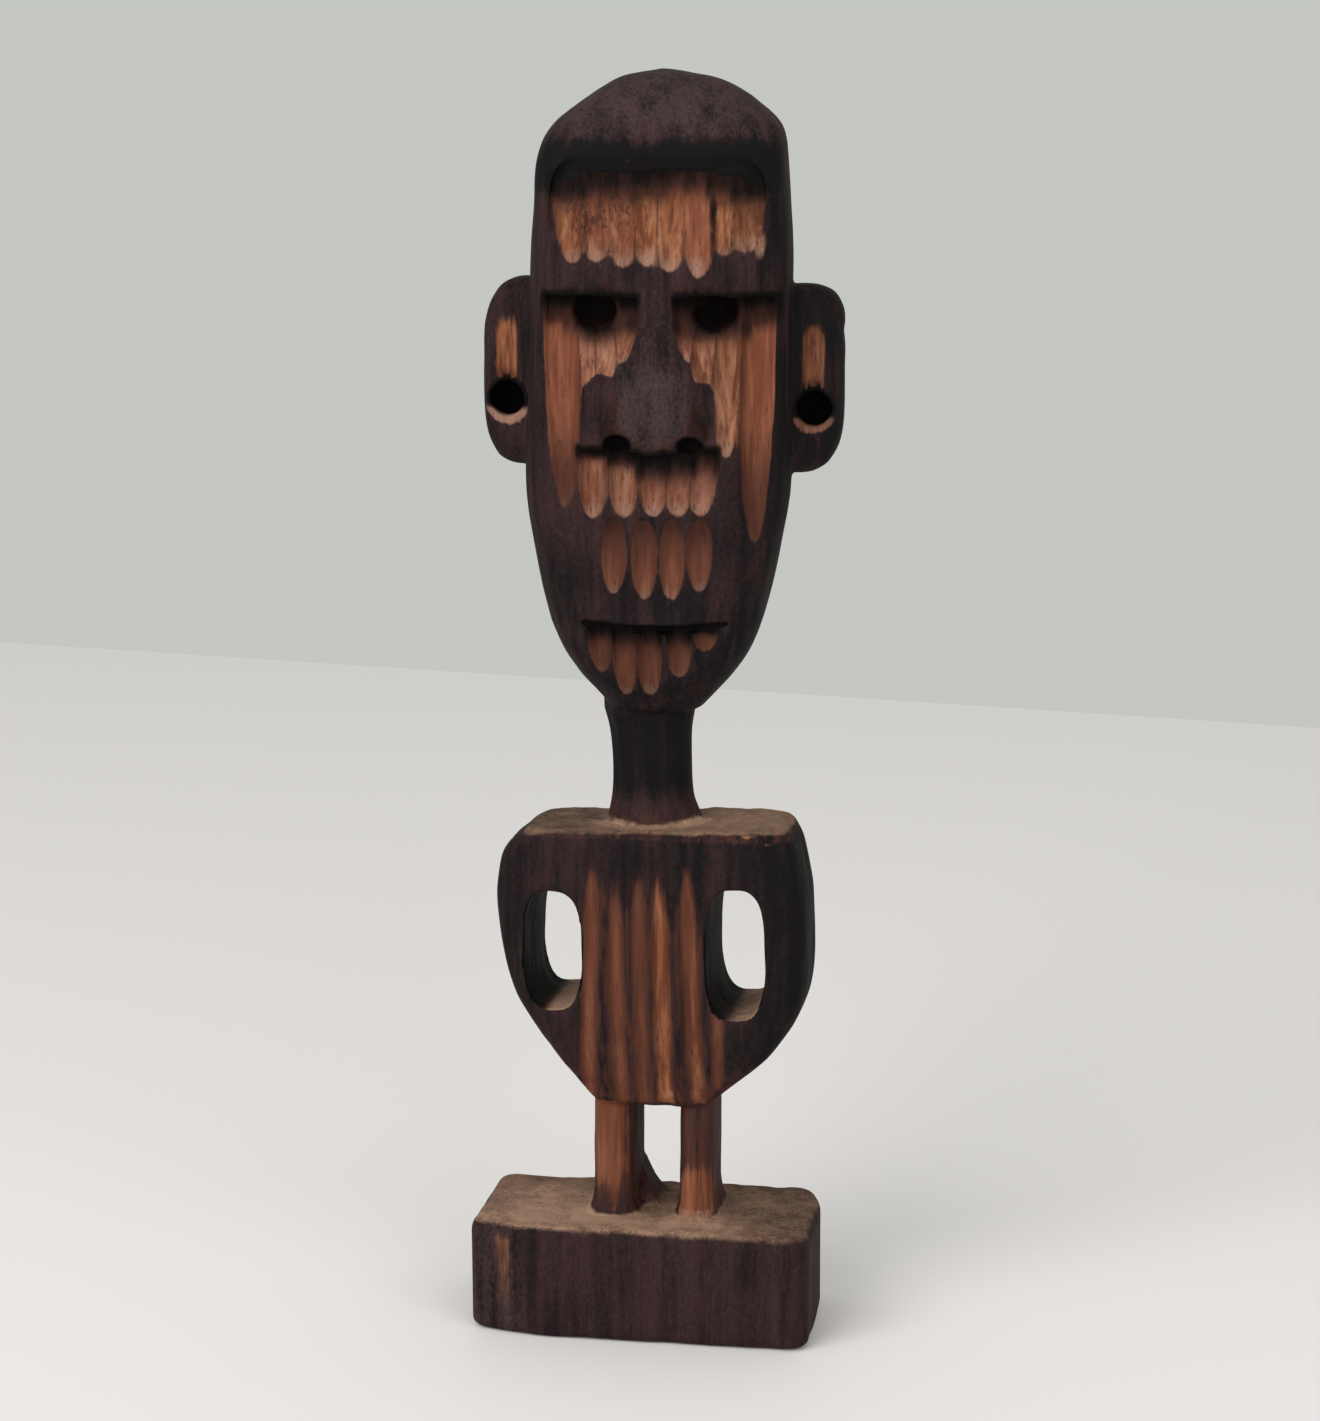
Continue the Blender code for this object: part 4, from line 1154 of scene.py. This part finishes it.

# The orange of the legs' fronts, and the ears' hollows and lobes, with painted shade in each
# lobe's hole and painted light on the bare wood of its lower lip
on_legs = (wz > BASE_TOP + 0.4) & (wz < HIP + 1.0) & (wy < 0.0)
left_patch = near_to(wx, LEFT_LEG[0] - 0.7, 5.2) * (0.30 + 0.70 * step_up(wz, 27.0, 34.0))
right_patch = near_to(wx, RIGHT_LEG[0] + 0.3, 4.6) * (1.0 - step_up(wz, 29.0, 37.0))
fresh = np.where(on_legs, np.maximum(0.95 * left_patch, right_patch), fresh)
bright = np.where(on_legs, np.where(wx < 3.0, LEFT_LEG_LIGHT, RIGHT_LEG_LIGHT), bright)
tone = np.where(on_legs, 0.6, tone)
for (sign, reach, foot, hole, _), clean in zip(EARS, EAR_LIGHT):
    middle = sign * (HEAD_HALF_WIDTH + EAR_HOLLOW_PLACE * reach)
    front = EAR_SETBACK - EAR_HALF_DEPTH
    near = (np.abs(hx - middle) < 4.5) & (hy < front + 3.0)
    near &= (hz > foot + hole - 1.0) & (hz < foot + 34.0)
    share = step_up(-hz, -foot - 31.5, -foot - 25.0)
    share = share * (1.0 - step_up(np.abs(hx - middle), 0.9, 3.0))
    fresh = np.where(near, share, fresh)
    bright = np.where(near, clean, bright)
    pale_and_lit = np.where(near, 0.0, pale_and_lit)
    # Painted shade fills each lobe's hole, and painted light falls on the bare wood of its lower
    # lip
    ring = np.hypot(hx - middle, hz - foot - hole)
    in_hole = (ring < EAR_HOLE_RADIUS + 0.9) & (hy > front - 1.0)
    in_hole &= hy < front + EAR_HOLE_DEPTH + 2
    below_middle = foot + hole - hz
    lit = near_to(ring, EAR_HOLE_RADIUS + 0.1, 1.2 + 0.8 * clean) * step_up(below_middle, 0.6, 2.8)
    lit *= on_head * (hy > front - 1.0) * (1.0 - step_up(hy, front + 3.0, front + 6.0))
    soot_and_shade = np.where(in_hole, 1.0, soot_and_shade) * (1.0 - lit)
    fresh = np.maximum(fresh * (1.0 - in_hole), lit)
    pale_and_lit = np.where(lit > 0.05, 0.55 + 0.60 * clean, pale_and_lit)
    bright = np.where(lit > 0.05, 0.10 + 0.75 * clean, bright)
    ashen = near_to(ring, EAR_HOLE_RADIUS + 0.5, 3.2) * (hy < front + 2.0)
    ashen = ashen * step_up(-below_middle, -1.0, 3.0)
    soot_and_shade = np.where(on_head & ~in_hole, np.maximum(soot_and_shade, 0.5 * ashen * (1.0 - lit)), soot_and_shade)

# Soot and painted shade in the pits, round the nose, in the mouth and in the gaps
for holes, reach, full, least in (
    (EYE_PITS, EYE_SOOT_AND_SHADE_REACH, 0.45, 2.2),
    (NOSTRILS, NOSTRIL_SOOT_AND_SHADE_REACH, 0.75, 1.5),
):
    for across, height in holes:
        away = np.sqrt(((hx - across) / reach[0]) ** 2 + ((hz - height) / reach[1]) ** 2)
        soot_and_shade = np.where(on_face, np.maximum(soot_and_shade, 1.0 - step_up(away, full, least)), soot_and_shade)
# Painted shade in the crevice round the nose's ball
away = np.sqrt((hx / NOSE_REACH[0]) ** 2 + ((hz - NOSE_RISE) / NOSE_REACH[2]) ** 2)
nose_edge_shade = near_to(away, 1.12, 0.45) * (1.0 - step_up(hz, NOSE_RISE - 2.0, NOSE_RISE + 6.0))
soot_and_shade = np.where(on_face, np.maximum(soot_and_shade, NOSE_EDGE_SHADE * nose_edge_shade), soot_and_shade)
# Dust and a painted highlight on the nose's ball
dusty_and_lit = dusty_and_lit + NOSE_DUST_AND_HIGHLIGHT * on_face * (1.0 - step_up(away, 0.7, 1.1))
# Painted shade in the mouth's slit
in_mouth = near_to(hz, MOUTH_LINE - 0.9, 1.8) * step_up(depth_cut, 0.2, 0.6) * on_face
soot_and_shade = np.maximum(soot_and_shade, in_mouth)
sills = np.zeros(count)
for middle, height, half_height in ARM_GAPS:
    outline = gap_outline(wx - middle, wz - height, half_height)
    inside = (outline < 0.45) & (depth_cut > 0.35)
    sill = step_up(height - half_height + 4.5 - wz, 0.0, 3.0) * near_to(wx, middle + 2.5, 6.0)
    # Painted shade on the gap's inner walls, all but the sill at its foot
    soot_and_shade = np.where(inside, 1.0 - sill, soot_and_shade)
    sills = np.maximum(sills, inside * sill)
    fresh = np.where(inside, 0.0, fresh)
warm = np.where(sills > 0.1, sills, warm)

# Scraped wood: the tops of the base and the shoulders, round the feet of the legs and the neck
on_base_top = step_up(facing_up, 0.10, 0.95) * step_up(wz, BASE_TOP - 4.0, BASE_TOP - 0.8)
on_base_top *= 1.0 - step_up(wz, BASE_TOP + 0.8, BASE_TOP + 2.2)
by_left_leg = near_to(np.maximum(np.abs(wx - LEFT_LEG[0]) - LEFT_LEG[1], 0), 0.0, 5.0)
by_right_leg = near_to(np.maximum(np.abs(wx - RIGHT_LEG[0]) - RIGHT_LEG[1], 0), 0.0, 4.0)
by_legs = np.maximum(by_left_leg, 0.8 * by_right_leg) * near_to(wy, -8.5, 6.0)
by_front = near_to(wy, -13.5, 6.0) * (1.0 - 0.6 * step_up(wx, 10.0, 22.0))
by_left = near_to(wx, -17.0, 15.0) * near_to(wy, -2.0, 14.0)
base_light = 0.30 + 0.30 * by_front + 0.65 * by_legs + 0.45 * by_left - 0.30 * step_up(wx, 14, 28)
base_light -= 0.25 * step_up(wy, 6.0, 14.0)
on_shoulder = step_up(facing_up, 0.40, 0.85) * step_up(wz, SHOULDER - 2.8, SHOULDER - 1.0)
on_shoulder *= 1.0 - step_up(wz, SHOULDER + 1.2, SHOULDER + 2.4)
neck_away = np.hypot(wx - NECK_MIDDLE[0], (wy - NECK_MIDDLE[1]) * 1.05)
neck_ring = near_to(neck_away, 10.9, 2.6) * (wy < 0) * near_to(wz, SHOULDER - 0.2, 1.8)
left_dark = 1.0 - step_up(wx, -14.0, -2.0)
shoulder_light = 0.10 + 0.25 * step_up(wx, 8.0, 20.0) - 0.12 * left_dark + 0.6 * neck_ring
scrape = np.maximum(on_base_top, (0.85 - 0.2 * left_dark) * on_shoulder)
scrape = np.maximum(scrape, np.maximum(0.9 * neck_ring, SILL_SCRAPE * sills))
sill_light = np.where(wx < 0, LEFT_SILL_LIGHT, RIGHT_SILL_LIGHT)
light_scrape = np.where(wz < HIP, base_light, np.where(sills > 0.05, sill_light, shoulder_light))
pale_and_lit = np.where(scrape > 0.02, light_scrape, pale_and_lit)

# Rubbed places: the base's cut corner and front, the forehead's side, a scratch on the shoulder's
# edge, and a nick above the legs
for place, reach, share, light in RUBBED_PLACES:
    away = sum(((a - b) / c) ** 2 for a, b, c in zip((wx, wy, wz), place, reach)) ** 0.5
    spot = 1.0 - step_up(away, 0.3, 1.1)
    fresh = np.maximum(fresh, share * spot)
    bright = np.where(spot > 0.05, light + 0.2, bright)
    pale_and_lit = np.where(spot > 0.05, np.maximum(pale_and_lit, 0.8 * spot), pale_and_lit)

for label, values in (
    ("fresh", fresh),
    ("ridge", ridge),
    ("bright", bright),
    ("soot_and_shade", soot_and_shade),
    ("specked", specked),
    ("pale_and_lit", pale_and_lit),
    ("scrape", scrape),
    ("tone", tone),
    ("char_and_shade", char_and_shade),
    ("warm", warm),
    ("dusty_and_lit", dusty_and_lit),
):
    mark = figure_mesh.attributes.new(label, "FLOAT", "POINT")
    mark.data.foreach_set("value", np.asarray(values, np.float32))


# The finish: wood stained and charred nearly black, rubbed by hands, with the fresh orange-brown
# wood showing in the cuts and a tan scraped surface on the level tops.
SKIN_BLACK = (0.0060, 0.0052, 0.0058)
SKIN_WARM = (0.0360, 0.0172, 0.0180)
SKIN_BROWN = (0.0780, 0.0270, 0.0165)
SKIN_DUST_AND_HIGHLIGHT = (0.0700, 0.0460, 0.0470)
FRESH_STAIN_AND_SHADE = (0.0380, 0.0145, 0.0105)
FRESH_DEEP = (0.1050, 0.0320, 0.0140)
FRESH_WOOD = (0.2400, 0.0910, 0.0430)
FRESH_LIGHT = (0.3500, 0.1650, 0.0880)
FRESH_RED = (0.1950, 0.0620, 0.0400)
PALE_TIP_AND_HIGHLIGHT = (0.2900, 0.1750, 0.1350)
SCRAPE_DARK = (0.0700, 0.0400, 0.0270)
SCRAPE_TAN = (0.1750, 0.1020, 0.0690)
SCRAPE_LIGHT = (0.3300, 0.2000, 0.1350)
SOOT_AND_SHADE_BLACK = (0.0022, 0.0017, 0.0017)
SMOOTHEST = 0.55
ROUGHEST = 0.85
GLOSS = 0.06
GRAIN_BUMP = 0.6
GRAIN_BUMP_HEIGHT = 0.0004

finish = bpy.data.materials.new("charred_wood_finish")
finish.use_nodes = True
tree = finish.node_tree
shader = tree.nodes["Principled BSDF"]


def node(kind, **settings):
    made = tree.nodes.new(kind)
    for key, value in settings.items():
        setattr(made, key, value)
    return made


def feed(socket, value):
    """Links an output to a socket, or sets the socket to a plain value."""
    if isinstance(value, bpy.types.NodeSocket):
        tree.links.new(value, socket)
    elif isinstance(value, tuple) and len(value) == 3 and socket.type == "RGBA":
        socket.default_value = (*value, 1.0)
    else:
        socket.default_value = value


def mark_of(label):
    return node("ShaderNodeAttribute", attribute_name=label).outputs["Fac"]


def reckon(operation, a, b=0.0, c=0.0):
    made = node("ShaderNodeMath", operation=operation)
    for socket, value in zip(made.inputs, (a, b, c)):
        feed(socket, value)
    return made.outputs[0]


def spread(value, low, high, to_low=0.0, to_high=1.0):
    made = node("ShaderNodeMapRange", interpolation_type="SMOOTHSTEP")
    for socket, number in zip(made.inputs, (value, low, high, to_low, to_high)):
        feed(socket, number)
    return made.outputs[0]


def mixed(share, a, b, blend="MIX"):
    made = node("ShaderNodeMix", data_type="RGBA", blend_type=blend)
    feed(made.inputs["Factor"], share)
    feed(made.inputs[6], a)
    feed(made.inputs[7], b)
    return made.outputs[2]


def noise(stretch, scale, detail=3.0, roughness=0.55, shift=0.0):
    """Noise on the figure's own coordinates, stretched along the grain."""
    place = node("ShaderNodeMapping")
    feed(place.inputs["Vector"], node("ShaderNodeTexCoord").outputs["Object"])
    place.inputs["Location"].default_value = (shift, shift * 0.7, shift * 1.3)
    place.inputs["Scale"].default_value = stretch
    made = node("ShaderNodeTexNoise")
    feed(made.inputs["Vector"], place.outputs[0])
    made.inputs["Scale"].default_value = scale
    made.inputs["Detail"].default_value = detail
    made.inputs["Roughness"].default_value = roughness
    return made.outputs["Fac"]


def centred(value, strength):
    """Noise about its middle value, with its strength."""
    return reckon("MULTIPLY_ADD", value, strength, -0.5 * strength)


def total(*values):
    result = values[0]
    for value in values[1:]:
        result = reckon("ADD", result, value)
    return result


cloud = noise((1.0, 1.0, 0.6), 90.0, 3.0, 0.6)
streak = noise((1.0, 1.0, 0.06), 1000.0, 3.0, 0.6, 0.3)
broad_streak = noise((1.0, 1.0, 0.08), 360.0, 3.0, 0.6, 0.8)
pore = noise((1.0, 1.0, 0.035), 2300.0, 2.0, 0.6, 2.3)
speck = noise((1.0, 1.0, 0.6), 1700.0, 2.0, 0.7, 1.7)
blotch = noise((1.0, 1.0, 0.5), 300.0, 4.0, 0.65, 2.9)

# The stained skin
warmth = total(
    reckon("MULTIPLY_ADD", mark_of("char_and_shade"), -0.80, 0.58),
    centred(cloud, 0.9),
    centred(broad_streak, 1.6),
    centred(speck, 0.8),
    reckon("MULTIPLY", mark_of("warm"), 0.2),
)
skin_colour = mixed(spread(warmth, 0.0, 1.0), SKIN_BLACK, SKIN_WARM)
brown_share = total(
    reckon("MULTIPLY_ADD", mark_of("warm"), 0.55, 0.02),
    centred(streak, 1.5),
    centred(blotch, 0.9),
)
skin_colour = mixed(spread(brown_share, 0.25, 0.95, 0.0, 0.85), skin_colour, SKIN_BROWN)
# Grey dust, which on the nose's ball is also a painted highlight
dust_and_highlight = total(
    centred(speck, 1.1),
    centred(cloud, 0.25),
    centred(broad_streak, 0.6),
    reckon("MULTIPLY_ADD", mark_of("dusty_and_lit"), 0.75, -0.20),
    reckon("MULTIPLY", mark_of("char_and_shade"), -0.4),
)
skin_colour = mixed(spread(dust_and_highlight, 0.05, 0.90, 0.0, 0.60), skin_colour, SKIN_DUST_AND_HIGHLIGHT)

# The fresh wood in the cuts: streaky, pored, pale where the gouge came in, with a painted
# highlight there, dark between the cuts, and painted shade at their sides
grain = total(0.5, centred(broad_streak, 1.7), centred(streak, 1.6), centred(cloud, 0.5))
fresh_colour = mixed(spread(grain, 0.15, 0.75), FRESH_DEEP, FRESH_WOOD)
fresh_colour = mixed(spread(grain, 0.60, 1.1, 0.0, 0.9), fresh_colour, FRESH_LIGHT)
fresh_colour = mixed(reckon("MULTIPLY", mark_of("tone"), 0.55), fresh_colour, FRESH_RED)
pale_and_lit_share = total(mark_of("pale_and_lit"), centred(blotch, 1.2), centred(streak, 1.2))
fresh_colour = mixed(spread(pale_and_lit_share, 0.15, 1.45, 0.0, 0.80), fresh_colour, PALE_TIP_AND_HIGHLIGHT)
stained = total(
    centred(speck, 1.3),
    centred(blotch, 1.3),
    reckon("MULTIPLY", mark_of("specked"), 0.30),
)
fresh_colour = mixed(spread(stained, 0.22, 0.60, 0.0, 0.80), fresh_colour, FRESH_STAIN_AND_SHADE)
fresh_colour = mixed(spread(pore, 0.42, 0.30, 0.0, 0.55), fresh_colour, FRESH_STAIN_AND_SHADE)
ridge_share = total(mark_of("ridge"), centred(blotch, 0.9), centred(streak, 0.9))
fresh_colour = mixed(spread(ridge_share, 0.2, 1.1, 0.0, 0.80), fresh_colour, FRESH_STAIN_AND_SHADE)
# Stain where the wood is less clean, and painted shade at cut sides and under the beard's stops
fresh_colour = mixed(spread(mark_of("bright"), 0.0, 1.0, 0.85, 0.0), fresh_colour, FRESH_STAIN_AND_SHADE)
fresh_share = total(mark_of("fresh"), centred(blotch, 0.75), centred(streak, 0.55))
colour = mixed(spread(fresh_share, 0.20, 0.70), skin_colour, fresh_colour)

# The scraped tops
scrape_grain = total(
    mark_of("pale_and_lit"),
    centred(blotch, 1.5),
    centred(speck, 1.5),
    centred(cloud, 1.3),
)
scrape_colour = mixed(spread(scrape_grain, -0.45, 0.35), SCRAPE_DARK, SCRAPE_TAN)
scrape_colour = mixed(spread(scrape_grain, 0.25, 1.10), scrape_colour, SCRAPE_LIGHT)
scrape_share = total(
    mark_of("scrape"),
    centred(cloud, 0.6),
    centred(blotch, 0.45),
    centred(speck, 0.15),
)
colour = mixed(spread(scrape_share, 0.20, 0.85), colour, scrape_colour)

# Soot and painted shade over all of it, brown where it is thin
soot_and_shade_share = total(
    mark_of("soot_and_shade"),
    centred(blotch, 0.55),
    centred(broad_streak, 0.5),
    centred(streak, 0.3),
)
colour = mixed(spread(soot_and_shade_share, 0.05, 0.70, 0.0, 0.80), colour, FRESH_STAIN_AND_SHADE, "DARKEN")
colour = mixed(spread(soot_and_shade_share, 0.40, 1.0, 0.0, 0.98), colour, SOOT_AND_SHADE_BLACK)
feed(shader.inputs["Base Color"], colour)
roughness = total(0.5, centred(cloud, 0.8), centred(streak, 0.5))
feed(shader.inputs["Roughness"], spread(roughness, 0.0, 1.0, SMOOTHEST, ROUGHEST))
shader.inputs["Specular IOR Level"].default_value = GLOSS

relief = node("ShaderNodeBump")
relief.inputs["Strength"].default_value = GRAIN_BUMP
relief.inputs["Distance"].default_value = GRAIN_BUMP_HEIGHT
fibre = total(
    reckon("MULTIPLY", streak, 0.6),
    reckon("MULTIPLY", blotch, 0.5),
    reckon("MULTIPLY", pore, 0.3),
)
feed(relief.inputs["Height"], fibre)
feed(shader.inputs["Normal"], relief.outputs[0])


# The blade's small facets over the stained skin, and the raised grain that runs up the figure.
# They only go into the wood, by a few tenths of a millimetre, so the size stays as it was.
FACET_DEPTH = 0.00022
FACET_SIZE = (0.0042, 0.0042, 0.0100)
GRAIN_DEPTH = 0.00016
GRAIN_SIZE = (0.0016, 0.0016, 0.0240)
RELIEF_SEED = 4.0
# The facets fade out where the wood is laid bare: this less the mark is what is left of them
FACETS_LEFT = 1.15

relief_tree = bpy.data.node_groups.new("knife_relief", "GeometryNodeTree")
sockets = {}
for label, kind in (
    ("Geometry", "NodeSocketGeometry"),
    ("Facet depth", "NodeSocketFloat"),
    ("Facet size", "NodeSocketVector"),
    ("Grain depth", "NodeSocketFloat"),
    ("Grain size", "NodeSocketVector"),
    ("Seed", "NodeSocketFloat"),
    ("Finish", "NodeSocketMaterial"),
):
    made = relief_tree.interface.new_socket(label, in_out="INPUT", socket_type=kind)
    sockets[label] = made.identifier
relief_tree.interface.new_socket("Geometry", in_out="OUTPUT", socket_type="NodeSocketGeometry")


def relief_node(kind, **settings):
    made = relief_tree.nodes.new(kind)
    for key, value in settings.items():
        setattr(made, key, value)
    return made


def relief_link(output, socket):
    relief_tree.links.new(output, socket)


def relief_sum(operation, a, b):
    made = relief_node("ShaderNodeMath", operation=operation)
    for socket, value in zip(made.inputs, (a, b)):
        if isinstance(value, bpy.types.NodeSocket):
            relief_link(value, socket)
        else:
            socket.default_value = value
    return made.outputs[0]


sizes = relief_node("NodeGroupInput")
place = relief_node("GeometryNodeInputPosition")
depths = []
for label, texture, output in (
    ("Facet", relief_node("ShaderNodeTexVoronoi", voronoi_dimensions="4D"), "Distance"),
    ("Grain", relief_node("ShaderNodeTexNoise", noise_dimensions="4D"), "Fac"),
):
    in_sizes = relief_node("ShaderNodeVectorMath", operation="DIVIDE")
    relief_link(place.outputs[0], in_sizes.inputs[0])
    relief_link(sizes.outputs[label + " size"], in_sizes.inputs[1])
    relief_link(in_sizes.outputs[0], texture.inputs["Vector"])
    relief_link(sizes.outputs["Seed"], texture.inputs["W"])
    texture.inputs["Scale"].default_value = 1.0
    texture.inputs["Detail"].default_value = 1.0 if label == "Grain" else 0.0
    dished = relief_sum("SUBTRACT", 1.0, texture.outputs[output])
    dished = relief_sum("POWER", relief_sum("MAXIMUM", dished, 0.0), 2.0)
    depths.append(relief_sum("MULTIPLY", dished, sizes.outputs[label + " depth"]))
laid_bare = relief_node("GeometryNodeInputNamedAttribute", data_type="FLOAT")
laid_bare.inputs["Name"].default_value = "fresh"
covered = relief_sum("SUBTRACT", FACETS_LEFT, laid_bare.outputs["Attribute"])
depths[0] = relief_sum("MULTIPLY", depths[0], covered)
inwards = relief_sum("MULTIPLY", relief_sum("ADD", depths[0], depths[1]), -1.0)
offset = relief_node("ShaderNodeVectorMath", operation="SCALE")
relief_link(relief_node("GeometryNodeInputNormal").outputs["Normal"], offset.inputs[0])
relief_link(inwards, offset.inputs["Scale"])
moved = relief_node("GeometryNodeSetPosition")
relief_link(sizes.outputs["Geometry"], moved.inputs["Geometry"])
relief_link(offset.outputs[0], moved.inputs["Offset"])
real = relief_node("GeometryNodeRealizeInstances")
relief_link(moved.outputs[0], real.inputs[0])
coated = relief_node("GeometryNodeSetMaterial")
relief_link(real.outputs[0], coated.inputs["Geometry"])
relief_link(sizes.outputs["Finish"], coated.inputs["Material"])
relief_link(coated.outputs[0], relief_node("NodeGroupOutput").inputs["Geometry"])

worked = figure.modifiers.new("knife relief", "NODES")
worked.node_group = relief_tree
for label, value in (
    ("Facet depth", FACET_DEPTH),
    ("Facet size", FACET_SIZE),
    ("Grain depth", GRAIN_DEPTH),
    ("Grain size", GRAIN_SIZE),
    ("Seed", RELIEF_SEED),
    ("Finish", finish),
):
    worked[sockets[label]] = value
plain_copy(figure)
figure.data.shade_smooth()
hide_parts("ancestor_figure")
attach(figure, "root")
